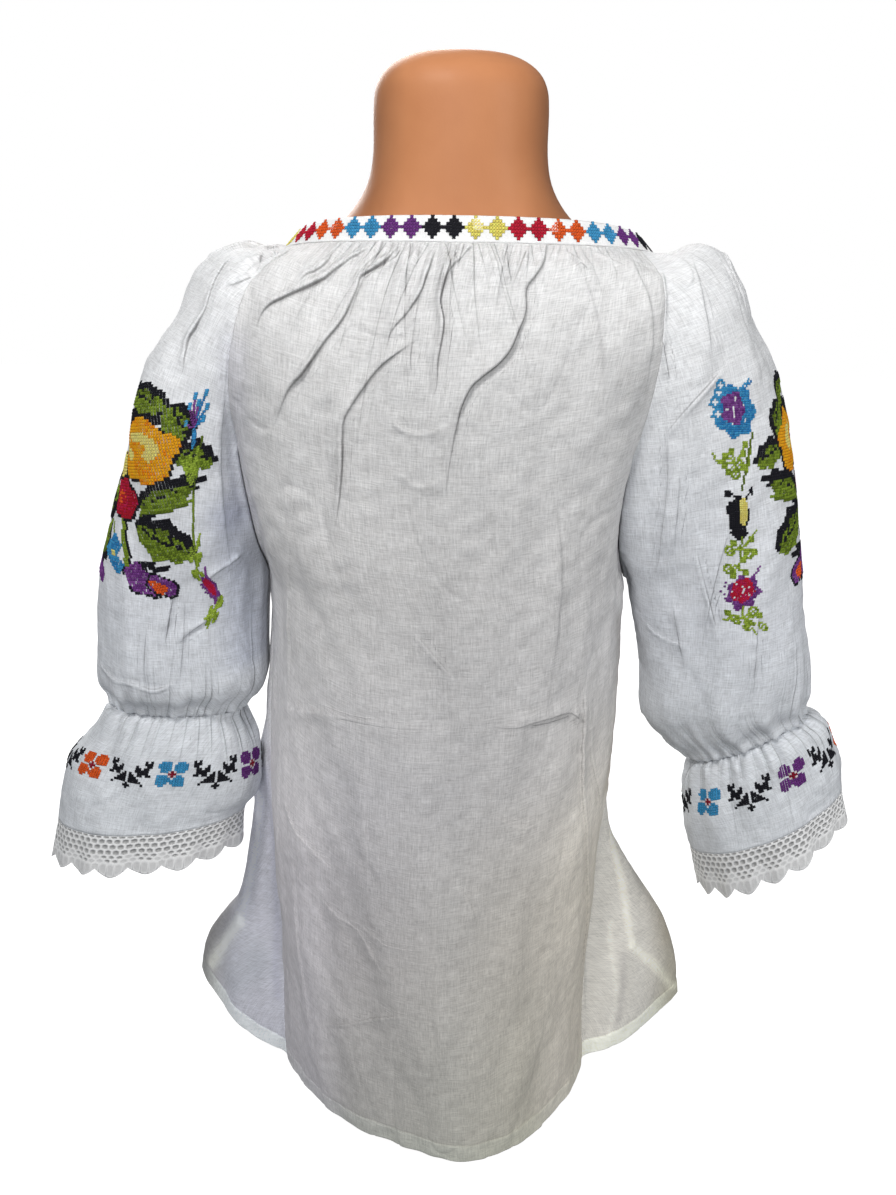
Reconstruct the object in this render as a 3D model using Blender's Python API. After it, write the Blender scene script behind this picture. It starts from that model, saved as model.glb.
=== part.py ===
"""Romanian ie: a gathered raglan blouse worn by a limbless torso form.

Metres, +Z up. The origin is the middle of the form's flat base. The garment's front faces -Y,
its back faces +Y, and the wearer's left side is +X. Each cloth piece is a thin wall: its outer
side is a grid of points worked out from the section tables below, and its inner side is the same
grid moved in along the surface normals that neighbouring pieces share.
"""

import math
from collections import namedtuple

import bpy
import numpy as np

# ---------------------------------------------------------------- driving sizes
CLOTH = 0.0014  # wall of the blouse cloth
LACE = 0.0012  # wall of the crochet edging
SEAM_GAP = 0.0003  # clearance between two sewn pieces

BAND_HEIGHT = 0.015
BAND_WALL = 0.0018
BAND_LEAN_BACK = 0.0025  # the band's top edge lies this much nearer the neck at the back
BAND_LEAN_SIDE = 0.0110  # and this much where it lies on the shoulders
NECK_Z = 0.7025  # lower edge of the neckband at the back
NECK_DROP = 0.046  # how much lower the neckline is at the front
NECK_DROP_POWER = 2.4  # keeps the back and the shoulders level
NECK_DROP_FADE = 1.4  # how fast the rows below the neckline become level
RAGLAN_ANGLE = 30.0  # where the raglan seams meet the band, degrees from the side
BAND_OPENING = 150  # half the angle that a sleeve leaves open there, degrees

BACK_COLUMNS = 40
FRONT_COLUMNS = 34
SLEEVE_COLUMNS = 32  # also the cuff's: two for each scallop of the lace
BAND_COLUMNS = 60
YOKE_ROWS = (0.0, 0.5, 1.2, 2.1, 3.2, 4.6, 6.1, 7.6, 9.0)  # places down the sleeve tables
ARM_ROWS = (9.0, 10.0, 11.0, 12.0, 13.0)
BODY_ROW_HEIGHTS = (0.435, 0.385, 0.33, 0.27, 0.21, 0.145, 0.08, 0.02)

# A level or tilted ring of a sleeve: its outermost and innermost points, the angle that stays
# open towards the body, its half depth from back to front, the Y of its centre and how much
# higher its back is than its middle.
Ring = namedtuple("Ring", "outer_x outer_z inner_x inner_z opening depth centre_y lift")

UNDERARM_ROW = 9
SLEEVE = {
    "left": (
        Ring(0.1205, 0.7025, 0.1044, 0.7025, BAND_OPENING, 0.087, -0.012, 0.0),
        Ring(0.1480, 0.7065, 0.1180, 0.6900, 120, 0.085, -0.010, 0.0),
        Ring(0.1735, 0.6900, 0.1270, 0.6760, 100, 0.084, -0.008, 0.0),
        Ring(0.1930, 0.6590, 0.1340, 0.6560, 86, 0.083, -0.006, 0.0),
        Ring(0.2110, 0.6280, 0.1395, 0.6300, 75, 0.080, -0.004, 0.0),
        Ring(0.2245, 0.5920, 0.1425, 0.6000, 64, 0.077, -0.003, 0.0),
        Ring(0.2370, 0.5520, 0.1430, 0.5680, 53, 0.073, -0.002, 0.0),
        Ring(0.2470, 0.5150, 0.1420, 0.5360, 40, 0.069, -0.001, 0.0),
        Ring(0.2560, 0.4800, 0.1410, 0.5050, 24, 0.065, 0.0, 0.0),
        Ring(0.2640, 0.4450, 0.1400, 0.4750, 0, 0.062, 0.0, 0.0),
        Ring(0.2680, 0.4250, 0.1445, 0.4450, 0, 0.060, 0.0, 0.001),
        Ring(0.2720, 0.4050, 0.1465, 0.4180, 0, 0.057, 0.0, 0.002),
        Ring(0.2735, 0.3850, 0.1475, 0.3920, 0, 0.052, 0.0, 0.004),
        Ring(0.2655, 0.3650, 0.1655, 0.3620, 0, 0.039, 0.0, 0.008),
    ),
    "right": (
        Ring(0.1285, 0.7025, 0.1113, 0.7025, BAND_OPENING, 0.087, -0.012, 0.0),
        Ring(0.1550, 0.7100, 0.1160, 0.6900, 120, 0.085, -0.010, 0.0),
        Ring(0.1780, 0.6945, 0.1180, 0.6760, 100, 0.084, -0.008, 0.0),
        Ring(0.1950, 0.6650, 0.1187, 0.6560, 86, 0.083, -0.006, 0.0),
        Ring(0.2110, 0.6360, 0.1170, 0.6300, 75, 0.080, -0.004, 0.0),
        Ring(0.2240, 0.6030, 0.1135, 0.6000, 64, 0.077, -0.003, 0.0),
        Ring(0.2350, 0.5650, 0.1100, 0.5680, 53, 0.073, -0.002, 0.0),
        Ring(0.2450, 0.5300, 0.1095, 0.5360, 40, 0.069, -0.001, 0.0),
        Ring(0.2520, 0.4950, 0.1140, 0.5030, 24, 0.065, 0.0, 0.0),
        Ring(0.2575, 0.4620, 0.1240, 0.4750, 0, 0.062, 0.0, 0.0),
        Ring(0.2620, 0.4360, 0.1360, 0.4400, 0, 0.060, 0.0, 0.002),
        Ring(0.2665, 0.4120, 0.1430, 0.4080, 0, 0.057, 0.0, 0.004),
        Ring(0.2700, 0.3880, 0.1520, 0.3600, 0, 0.051, 0.0, 0.007),
        Ring(0.2720, 0.3680, 0.1940, 0.3210, 0, 0.037, 0.0, 0.012),
    ),
}
CUFF = {
    "left": (
        Ring(0.2655, 0.3650, 0.1655, 0.3620, 0, 0.039, 0.0, 0.008),
        Ring(0.2860, 0.3420, 0.1585, 0.3400, 0, 0.046, 0.0, 0.008),
        Ring(0.3030, 0.3210, 0.1560, 0.3130, 0, 0.049, 0.0, 0.009),
        Ring(0.3140, 0.2980, 0.1585, 0.2880, 0, 0.051, 0.0, 0.009),
        Ring(0.3210, 0.2640, 0.1700, 0.2700, 0, 0.053, 0.0, 0.009),
        Ring(0.3290, 0.2290, 0.1740, 0.2400, 0, 0.055, 0.0, 0.008),
    ),
    "right": (
        Ring(0.2720, 0.3680, 0.1940, 0.3210, 0, 0.037, 0.0, 0.012),
        Ring(0.2870, 0.3620, 0.1910, 0.3030, 0, 0.043, 0.0, 0.012),
        Ring(0.2980, 0.3460, 0.1910, 0.2840, 0, 0.046, 0.0, 0.012),
        Ring(0.3060, 0.3290, 0.1940, 0.2630, 0, 0.049, 0.0, 0.012),
        Ring(0.3110, 0.3090, 0.2010, 0.2390, 0, 0.051, 0.0, 0.012),
        Ring(0.3170, 0.2860, 0.2140, 0.1990, 0, 0.053, 0.0, 0.012),
    ),
}
CUFF_ROWS = (0.0, 1.0, 2.4, 4.0)
LACE_ROWS = (4.0, 5.0)
SCALLOP = 0.0045  # how far the lace's scallops reach below its straight edge

# A level section of the body: half widths, back and front depths, how far it stands out in two
# wings, and the power of each half of its back curve (2 is an ellipse, less is more pointed).
Section = namedtuple(
    "Section", "z left right back front wing_left wing_right power_left power_right"
)
BODY = (
    Section(0.7025, 0.1205, 0.1285, 0.0750, 0.100, 0.0, 0.0, 2.0, 2.0),
    Section(0.690, 0.130, 0.130, 0.0880, 0.104, 0.0, 0.0, 2.0, 2.0),
    Section(0.660, 0.140, 0.135, 0.0980, 0.110, 0.0, 0.0, 2.0, 2.0),
    Section(0.630, 0.142, 0.130, 0.1030, 0.116, 0.0, 0.0, 2.0, 2.0),
    Section(0.580, 0.142, 0.127, 0.1060, 0.122, 0.0, 0.0, 2.0, 2.0),
    Section(0.530, 0.141, 0.125, 0.1050, 0.124, 0.0, 0.0, 2.0, 2.0),
    Section(0.475, 0.140, 0.124, 0.1040, 0.120, 0.0, 0.0, 2.0, 2.0),
    Section(0.420, 0.140, 0.127, 0.1030, 0.118, 0.001, 0.0, 2.0, 2.0),
    Section(0.360, 0.143, 0.126, 0.1040, 0.120, 0.008, 0.002, 1.97, 1.98),
    Section(0.290, 0.145, 0.122, 0.1060, 0.126, 0.026, 0.011, 1.92, 1.96),
    Section(0.240, 0.146, 0.119, 0.1080, 0.131, 0.035, 0.025, 1.87, 1.93),
    Section(0.190, 0.147, 0.119, 0.1095, 0.137, 0.047, 0.048, 1.80, 1.90),
    Section(0.148, 0.147, 0.120, 0.1110, 0.142, 0.058, 0.069, 1.73, 1.86),
    Section(0.104, 0.147, 0.122, 0.1130, 0.148, 0.082, 0.091, 1.66, 1.82),
    Section(0.060, 0.147, 0.124, 0.1143, 0.155, 0.098, 0.104, 1.60, 1.78),
    Section(0.020, 0.147, 0.126, 0.1155, 0.161, 0.105, 0.111, 1.54, 1.74),
)
WING_BACK, WING_FRONT = -17.0, -27.0  # a wing's crest lies between these angles
WING_BACK_FALL, WING_FRONT_FALL = 22.0, 52.0  # and dies out over these
CORNER_TOP, CORNER_FADE = 0.16, 0.06  # below this height the wings become pointed
CORNER_LIFT = {"left": 0.019, "right": 0.0}  # how much higher the hem's corners lie
LIFT_TOP, LIFT_FADE = 0.12, 0.10  # the lift grows below this height
SEAM_SWING = 6.0  # below the underarm the side seams lie this many degrees towards the back
SEAM_SETTLE = 0.10  # they reach that angle over this height

# A soft fold that runs down a piece: x and z where it starts and ends, how far its middle bows
# sideways, its half width and its depth. A positive depth is a ridge.
Fold = namedtuple("Fold", "x0 z0 x1 z1 bow width depth")
BACK_FOLDS = (
    Fold(0.054, 0.700, 0.116, 0.590, 0.000, 0.009, 0.0045),
    Fold(0.013, 0.700, 0.045, 0.644, 0.003, 0.007, 0.0045),
    Fold(0.035, 0.643, 0.089, 0.494, 0.009, 0.008, 0.0045),
    Fold(-0.003, 0.702, 0.020, 0.609, -0.002, 0.007, 0.0045),
    Fold(-0.048, 0.702, 0.012, 0.563, -0.006, 0.009, 0.0050),
    Fold(0.076, 0.695, 0.124, 0.637, 0.002, 0.008, 0.0040),
    Fold(-0.058, 0.702, -0.078, 0.640, 0.0, 0.008, -0.0035),
    Fold(-0.092, 0.700, -0.104, 0.610, -0.003, 0.008, 0.0035),
    Fold(0.110, 0.389, -0.003, 0.398, 0.006, 0.012, -0.0030),
)
FRONT_FOLDS = (
    Fold(0.060, 0.670, 0.095, 0.500, 0.004, 0.010, 0.0045),
    Fold(0.030, 0.660, 0.045, 0.480, 0.004, 0.009, 0.0050),
    Fold(0.000, 0.660, -0.010, 0.500, 0.003, 0.009, -0.0040),
    Fold(-0.030, 0.660, -0.050, 0.470, -0.004, 0.009, 0.0050),
    Fold(-0.065, 0.670, -0.090, 0.520, -0.004, 0.010, 0.0045),
)
SLEEVE_FOLDS = {
    "left": (
        Fold(0.142, 0.696, 0.178, 0.611, -0.006, 0.009, -0.0040),
        Fold(0.215, 0.690, 0.235, 0.560, 0.004, 0.012, 0.0040),
        Fold(0.262, 0.409, 0.205, 0.409, 0.003, 0.008, -0.0030),
    ),
    "right": (
        Fold(-0.161, 0.660, -0.125, 0.510, -0.010, 0.010, -0.0045),
        Fold(-0.178, 0.526, -0.171, 0.430, 0.0, 0.008, 0.0035),
        Fold(-0.207, 0.470, -0.214, 0.395, 0.0, 0.008, 0.0030),
    ),
}
FOLD_START, FOLD_LEAD = 0.12, 0.40  # a fold rises over this share of its length, from part height
FOLD_END = 0.35  # and dies out over this share
GATHER_DEPTH = 0.0016  # half the height of the small gathers under the band
GATHER_REACH = 0.040  # they die out over this distance
GATHER_WAVES = ((0.25, 1.7, 0.0), (0.20, 0.63, 1.0))  # share, pace and start of their unevenness
GATHER_MEAN = 0.75

# A level section of the torso form: half width, back and front reach.
Hull = namedtuple("Hull", "z half back front")
FORM = (
    Hull(0.000, 0.096, 0.074, -0.074),
    Hull(0.006, 0.102, 0.080, -0.080),
    Hull(0.080, 0.104, 0.083, -0.083),
    Hull(0.150, 0.104, 0.084, -0.084),
    Hull(0.230, 0.101, 0.081, -0.082),
    Hull(0.300, 0.097, 0.075, -0.079),
    Hull(0.360, 0.095, 0.072, -0.079),
    Hull(0.420, 0.099, 0.076, -0.085),
    Hull(0.480, 0.104, 0.083, -0.094),
    Hull(0.530, 0.111, 0.088, -0.099),
    Hull(0.575, 0.123, 0.090, -0.096),
    Hull(0.615, 0.139, 0.087, -0.086),
    Hull(0.643, 0.148, 0.081, -0.078),
    Hull(0.660, 0.149, 0.074, -0.071),
    Hull(0.673, 0.143, 0.067, -0.066),
    Hull(0.683, 0.1328, 0.062, -0.062),
    Hull(0.691, 0.1190, 0.058, -0.060),
    Hull(0.700, 0.1022, 0.056, -0.058),
    Hull(0.710, 0.0850, 0.055, -0.057),
    Hull(0.722, 0.070, 0.054, -0.057),
    Hull(0.738, 0.0595, 0.0535, -0.057),
    Hull(0.756, 0.0555, 0.0530, -0.0565),
    Hull(0.780, 0.0550, 0.0525, -0.0560),
    Hull(0.7925, 0.0535, 0.0510, -0.0545),
    Hull(0.8015, 0.0480, 0.0455, -0.0490),
    Hull(0.8080, 0.0370, 0.0350, -0.0385),
    Hull(0.8108, 0.0220, 0.0205, -0.0240),
)
FORM_TOP = 0.8118
FORM_X = 0.003  # the form's middle against the blouse's
FORM_COLUMNS = 40
FORM_POWER = 2.25  # a little squarer than an ellipse

WHITE_CLOTH = ((0.80, 0.80, 0.81), 0.85)
WHITE_LACE = ((0.86, 0.86, 0.86), 0.8)
TAN_PLASTIC = ((0.62, 0.28, 0.11), 0.32)


# ---------------------------------------------------------------- reading the tables
def between(table, place):
    """The table's row at a fractional place, on a smooth curve through its rows."""
    rows = np.array(table, dtype=float)
    low = int(min(max(math.floor(place), 0), len(rows) - 2))
    step = place - low
    before, after = max(low - 1, 0), min(low + 2, len(rows) - 1)
    start, end = rows[low], rows[low + 1]
    leave = (end - rows[before]) / (low + 1 - before)
    arrive = (rows[after] - start) / (after - low)
    s2, s3 = step * step, step**3
    mixed = (
        start * (2 * s3 - 3 * s2 + 1)
        + leave * (s3 - 2 * s2 + step)
        + end * (3 * s2 - 2 * s3)
        + arrive * (s3 - s2)
    )
    return type(table[0])(*mixed)


def body_at(z):
    """The body's section at height z."""
    heights = [row.z for row in BODY]
    for low in range(len(BODY) - 1):
        if heights[low] >= z >= heights[low + 1]:
            break
    place = low + (heights[low] - z) / (heights[low] - heights[low + 1])
    return between(BODY, min(max(place, 0.0), len(BODY) - 1.0))


def neck_drop(turn, place):
    """How far the neckline's dip lowers a point at this angle round the garment."""
    fade = max(0.0, 1.0 - place / UNDERARM_ROW) ** NECK_DROP_FADE
    return NECK_DROP * fade * ((1.0 - math.sin(turn)) / 2.0) ** NECK_DROP_POWER


def smooth(t):
    t = min(max(t, 0.0), 1.0)
    return t * t * (3.0 - 2.0 * t)


def spaced(curve, count):
    """count + 1 points evenly spaced along a finely drawn curve."""
    curve = np.asarray(curve)
    steps = np.linalg.norm(np.diff(curve, axis=0), axis=1)
    along = np.concatenate(([0.0], np.cumsum(steps)))
    wanted = np.linspace(0.0, along[-1], count + 1)
    return np.stack([np.interp(wanted, along, curve[:, axis]) for axis in range(3)], axis=1)


# ---------------------------------------------------------------- sections of the blouse
FINE = 240  # points on a curve before it is spaced out


def sleeve_ring(side, table, place, count):
    """A sleeve's ring, from its back seam round the outside to its front seam."""
    ring = between(table[side], place)
    opening = math.radians(max(ring.opening, 0.0)) if place < UNDERARM_ROW else 0.0
    reach = math.pi - opening
    across = (ring.outer_x - ring.inner_x) / (1.0 + math.cos(opening))
    middle = ring.outer_x - across
    hand = 1.0 if side == "left" else -1.0
    raglan = math.radians(RAGLAN_ANGLE)
    curve = []
    for angle in np.linspace(reach, -reach, FINE):
        x = middle + across * math.cos(angle)
        y = ring.centre_y + ring.depth * math.sin(angle)
        share = (x - ring.inner_x) / (ring.outer_x - ring.inner_x)
        z = ring.inner_z + (ring.outer_z - ring.inner_z) * share + ring.lift * math.sin(angle)
        if table is SLEEVE:
            z -= neck_drop(raglan * angle / reach, place)
        curve.append((hand * x, y, z))
    return spaced(curve, count)


def seam_point(side, place, front):
    """Where a sleeve's ring meets the front or the back panel."""
    return sleeve_ring(side, SLEEVE, place, 1)[1 if front else 0]


def yoke_row(place, front, count):
    """A row of the front or back panel above the underarm, from the right seam to the left."""
    facing = -1.0 if front else 1.0
    halves = {}
    for side in ("left", "right"):
        ring = between(SLEEVE[side], place)
        seam = seam_point(side, place, front)
        section = body_at(ring.inner_z)
        middle_y = facing * (section.front if front else section.back)
        turn = math.radians(max(ring.opening, 0.0) * RAGLAN_ANGLE / BAND_OPENING)
        across = seam[0] / math.cos(turn)
        through = (middle_y - seam[1]) / (1.0 - math.sin(turn))
        curve = []
        for angle in np.linspace(turn, math.pi / 2.0, FINE):
            x = across * math.cos(angle)
            y = middle_y + through * (math.sin(angle) - 1.0)
            share = (angle - turn) / (math.pi / 2.0 - turn)
            raglan = math.radians(RAGLAN_ANGLE)
            round_body = facing * (raglan + share * (math.pi / 2.0 - raglan))
            z = ring.inner_z - neck_drop(round_body, place)
            curve.append((x, y, z))
        halves[side] = curve
    # The two seams can lie at slightly different heights: the row runs smoothly between them.
    right, left = np.array(halves["right"]), np.array(halves["left"])
    whole = np.concatenate((right, left[::-1][1:]))
    rise = right[-1, 2] - left[-1, 2]
    ramp = np.linspace(-0.5, 0.5, len(whole))
    whole[: len(right), 2] -= rise * (0.5 + ramp[: len(right)])
    whole[len(right) :, 2] += rise * (0.5 - ramp[len(right) :])
    return spaced(whole, count)


def wing(angle, pointed):
    """The share of a wing's reach at an angle from the side, positive towards the back."""
    degrees = math.degrees(angle)
    if degrees > WING_BACK:
        past = (degrees - WING_BACK) / WING_BACK_FALL
    elif degrees < WING_FRONT:
        past = (WING_FRONT - degrees) / WING_FRONT_FALL
    else:
        past = 0.0
    past = min(past, 1.0)
    rounded = math.cos(math.pi / 2.0 * past) ** 2
    return rounded + pointed * (1.0 - past - rounded)


def body_point(z, side, angle):
    """A point of the body below the underarm, by its angle from the side towards the back."""
    section = body_at(z)
    half = section.left if side == "left" else section.right
    reach = section.wing_left if side == "left" else section.wing_right
    depth = section.back if angle > 0 else section.front
    power = section.power_left if side == "left" else section.power_right
    power = power if angle > 0 else 2.0
    radius = (math.cos(angle) / half) ** power + (abs(math.sin(angle)) / depth) ** power
    radius = radius ** (-1.0 / power)
    share = wing(angle, smooth((CORNER_TOP - z) / CORNER_FADE))
    radius += reach * share
    lift = CORNER_LIFT[side] * share * smooth((LIFT_TOP - z) / LIFT_FADE)
    hand = 1.0 if side == "left" else -1.0
    return (hand * radius * math.cos(angle), radius * math.sin(angle), z + lift)


def seam_angle(z):
    """The side seam's angle at height z."""
    top = SLEEVE["left"][UNDERARM_ROW].inner_z
    return math.radians(SEAM_SWING) * smooth((top - z) / SEAM_SETTLE)


def body_row(z, front, count):
    """A level row of the front or back panel below the underarm, from right seam to left."""
    end = -math.pi / 2.0 if front else math.pi / 2.0
    right = [body_point(z, "right", a) for a in np.linspace(seam_angle(z), end, FINE)]
    left = [body_point(z, "left", a) for a in np.linspace(end, seam_angle(z), FINE)]
    return spaced(right + left[1:], count)


def panel(front):
    """The grid of the whole front or back panel."""
    count = FRONT_COLUMNS if front else BACK_COLUMNS
    rows = [yoke_row(place, front, count) for place in YOKE_ROWS]
    rows += [body_row(z, front, count) for z in BODY_ROW_HEIGHTS]
    return np.array(rows)


# ---------------------------------------------------------------- folds and gathers
def grid_normals(grid):
    """Unit normals of a grid that face away from the garment's inside."""
    down = np.gradient(grid, axis=0)
    over = np.gradient(grid, axis=1)
    normal = np.cross(over, down)
    return normal / np.linalg.norm(normal, axis=2, keepdims=True)


def fold_height(folds, points):
    """How far the folds move each point out."""
    height = np.zeros(points.shape[:-1])
    for fold in folds:
        start = np.array((fold.x0, fold.z0))
        run = np.array((fold.x1, fold.z1)) - start
        length = np.linalg.norm(run)
        along = ((points[..., 0] - start[0]) * run[0] + (points[..., 2] - start[1]) * run[1])
        along /= length**2
        aside = ((points[..., 0] - start[0]) * run[1] - (points[..., 2] - start[1]) * run[0])
        aside = aside / length - fold.bow * np.sin(math.pi * np.clip(along, 0, 1))
        ends = np.clip(along / FOLD_START + FOLD_LEAD, 0, 1) * np.clip((1.0 - along) / FOLD_END, 0, 1)
        height += fold.depth * ends * np.exp(-((aside / fold.width) ** 2))
    return height


def gather_height(rows, columns, distance):
    """Alternate columns stand out and in under a gathered edge, unevenly deep."""
    column = np.arange(columns + 1)
    swing = np.where(column % 2 == 0, -1.0, 1.0)
    uneven = GATHER_MEAN + sum(a * np.sin(pace * column + at) for a, pace, at in GATHER_WAVES)
    fade = np.exp(-distance / GATHER_REACH)
    return GATHER_DEPTH * fade[:rows, None] * (swing * uneven)[None, :]


def edge_fade(columns, reach=1.0):
    """0 on a panel's two seams and 1 inside it."""
    column = np.arange(columns + 1)
    return np.clip(np.minimum(column, columns - column) / reach, 0.0, 1.0)[None, :]


def down_distance(grid):
    """Each row's mean distance from the first row, along the grid."""
    steps = np.linalg.norm(np.diff(grid, axis=0), axis=2).mean(axis=1)
    return np.concatenate(([0.0], np.cumsum(steps)))


def shaped(grid, folds):
    """The grid moved out by its folds and by the small gathers under the band."""
    rows, columns = grid.shape[0], grid.shape[1] - 1
    distance = down_distance(grid)
    height = gather_height(rows, columns, distance)
    if folds:
        height = height + fold_height(folds, grid)
    height = height * edge_fade(columns)
    height[0] = 0.0
    return grid + grid_normals(grid) * height[..., None]


# ---------------------------------------------------------------- walls
class Sheet:
    """A cloth piece's outer side: points, four-sided faces and its wall's thickness."""

    def __init__(self, name, grid, thickness, closed_from=None):
        rows, columns = grid.shape[:2]
        self.name, self.thickness = name, thickness
        self.points, index = [], np.zeros((rows, columns), dtype=int)
        for row in range(rows):
            joined = closed_from is not None and row >= closed_from
            for column in range(columns):
                if joined and column == columns - 1:
                    index[row, column] = index[row, 0]
                    continue
                index[row, column] = len(self.points)
                self.points.append(grid[row, column])
        self.points = np.array(self.points)
        self.faces = [
            (index[r, c], index[r, c + 1], index[r + 1, c + 1], index[r + 1, c])
            for r in range(rows - 1)
            for c in range(columns - 1)
        ]
        self.index = index
        self.group = "sleeve" if "sleeve" in name else "body"
        self.apart = set()  # points whose normal is their own group's: the underarms
        self.seams = {}
        self.shift = np.zeros_like(self.points)

    def sew(self, edge, inner):
        """Marks an edge as sewn: each of its points and that point's inner neighbour."""
        self.seams.update(zip(edge.tolist(), inner.tolist()))


def key(point):
    return tuple(int(round(value * 1e6)) for value in point)


def shared_normals(sheets):
    """One normal for each place, the same for every sheet that has a point there.

    A second key holds the normal of one group alone, for the underarms, where the body's and
    the sleeve's walls stand back to back.
    """
    total = {}
    for sheet in sheets:
        for face in sheet.faces:
            a, b, c, d = (sheet.points[i] for i in face)
            normal = np.cross(c - a, d - b)
            for corner in face:
                place = key(sheet.points[corner])
                total[place] = total.get(place, 0.0) + normal
                total[place, sheet.group] = total.get((place, sheet.group), 0.0) + normal
    return {place: n / np.linalg.norm(n) for place, n in total.items()}


def open_seams(sheets):
    """Moves the edges that meet at a seam apart, each towards its own piece."""
    pulls = {}
    for sheet in sheets:
        for edge, inner in sheet.seams.items():
            away = sheet.points[inner] - sheet.points[edge]
            away /= np.linalg.norm(away)
            pulls.setdefault(key(sheet.points[edge]), []).append((sheet, edge, away))
    for meeting in pulls.values():
        for sheet, edge, away in meeting:
            others = [pull for other, _, pull in meeting if other is not sheet]
            apart = away - sum(others) / max(len(others), 1)
            sheet.shift[edge] += apart / np.linalg.norm(apart) * SEAM_GAP / 2.0


def wall_mesh(sheet, normals):
    """Points and faces of the closed wall behind a sheet."""
    places = [key(point) for point in sheet.points]
    places = [(p, sheet.group) if i in sheet.apart else p for i, p in enumerate(places)]
    inward = np.array([-normals[place] for place in places])
    outer = sheet.points + sheet.shift
    inner = outer + inward * sheet.thickness
    count = len(outer)
    faces = [tuple(face) for face in sheet.faces]
    edges = {}
    for face in faces:
        for a, b in zip(face, face[1:] + face[:1]):
            edges[(a, b)] = edges.get((a, b), 0) + 1
    rim = [
        (b, a, a + count, b + count) for (a, b) in edges if (b, a) not in edges
    ]
    back = [tuple(i + count for i in reversed(face)) for face in faces]
    return np.concatenate((outer, inner)), faces + back + rim


# ---------------------------------------------------------------- Blender objects
def clear_scene():
    for item in list(bpy.data.objects):
        bpy.data.objects.remove(item, do_unlink=True)


def material(name, look):
    colour, roughness = look
    made = bpy.data.materials.new(name)
    made.use_nodes = True
    shader = made.node_tree.nodes["Principled BSDF"]
    shader.inputs["Base Color"].default_value = (*colour, 1.0)
    shader.inputs["Roughness"].default_value = roughness
    shader.inputs["Metallic"].default_value = 0.0
    made.diffuse_color = (*colour, 1.0)
    return made


def add_object(name, points, faces, look):
    mesh = bpy.data.meshes.new(name)
    mesh.from_pydata([tuple(p) for p in points], [], [tuple(int(i) for i in f) for f in faces])
    mesh.validate()
    mesh.update()
    mesh.shade_smooth()
    mesh.materials.append(look)
    made = bpy.data.objects.new(name, mesh)
    bpy.context.scene.collection.objects.link(made)
    return made


# ---------------------------------------------------------------- the blouse
def sleeve_sheet(side):
    rows = YOKE_ROWS + ARM_ROWS[1:]
    grid = np.array([sleeve_ring(side, SLEEVE, place, SLEEVE_COLUMNS) for place in rows])
    if side == "right":
        grid = grid[:, ::-1]
    grid = shaped_sleeve(grid, SLEEVE_FOLDS[side])
    underarm = len(YOKE_ROWS) - 1
    sheet = Sheet("sleeve_" + side, grid, CLOTH, closed_from=underarm)
    index = sheet.index
    sheet.sew(index[:underarm, 0], index[:underarm, 1])
    sheet.sew(index[:underarm, -1], index[:underarm, -2])
    outermost = SLEEVE_COLUMNS // 2
    sheet.sew(index[underarm, :1], index[underarm, outermost : outermost + 1])
    sheet.apart = {int(index[underarm, 0])}
    sheet.sew(index[-1, :-1], index[-2, :-1])
    sheet.shift[index[0]] -= (0.0, 0.0, SEAM_GAP)
    return sheet


def shaped_sleeve(grid, folds):
    """A sleeve has small gathers at the band and again above the cuff."""
    rows, columns = grid.shape[0], grid.shape[1] - 1
    distance = down_distance(grid)
    height = gather_height(rows, columns, distance)
    height = height + gather_height(rows, columns, distance[-1] - distance)
    height = height + fold_height(folds, grid)
    height = height * edge_fade(columns)
    height[0] = 0.0
    height[-1] = 0.0
    return grid + grid_normals(grid) * height[..., None]


def panel_sheet(front):
    grid = panel(front)
    if front:
        grid = grid[:, ::-1]
    grid = shaped(grid, FRONT_FOLDS if front else BACK_FOLDS)
    sheet = Sheet("front" if front else "back", grid, CLOTH)
    index = sheet.index
    sheet.sew(index[:, 0], index[:, 1])
    sheet.sew(index[:, -1], index[:, -2])
    underarm = len(YOKE_ROWS) - 1
    sheet.apart = {int(index[underarm, 0]), int(index[underarm, -1])}
    sheet.shift[index[0]] -= (0.0, 0.0, SEAM_GAP)
    return sheet


def cuff_sheet(side, name, rows, thickness):
    grid = np.array([sleeve_ring(side, CUFF, place, SLEEVE_COLUMNS) for place in rows])
    if side == "right":
        grid = grid[:, ::-1]
    rise = np.zeros(grid.shape[:2])
    if name == "ruffle":
        rise = gather_height(len(rows), SLEEVE_COLUMNS, down_distance(grid))
        rise[[0, -1]] = 0.0
    grid = grid + grid_normals(grid) * rise[..., None]
    if name == "lace":
        fall = grid[-1] - grid[-2]
        fall /= np.linalg.norm(fall, axis=1, keepdims=True)
        tip = np.arange(SLEEVE_COLUMNS + 1) % 2
        grid[-1] += fall * (SCALLOP * tip)[:, None]
    grid[:, -1] = grid[:, 0]
    sheet = Sheet(name + "_" + side, grid, thickness, closed_from=0)
    index = sheet.index
    sheet.sew(index[0, :-1], index[1, :-1])
    if name == "ruffle":
        sheet.sew(index[-1, :-1], index[-2, :-1])
    return sheet


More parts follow.
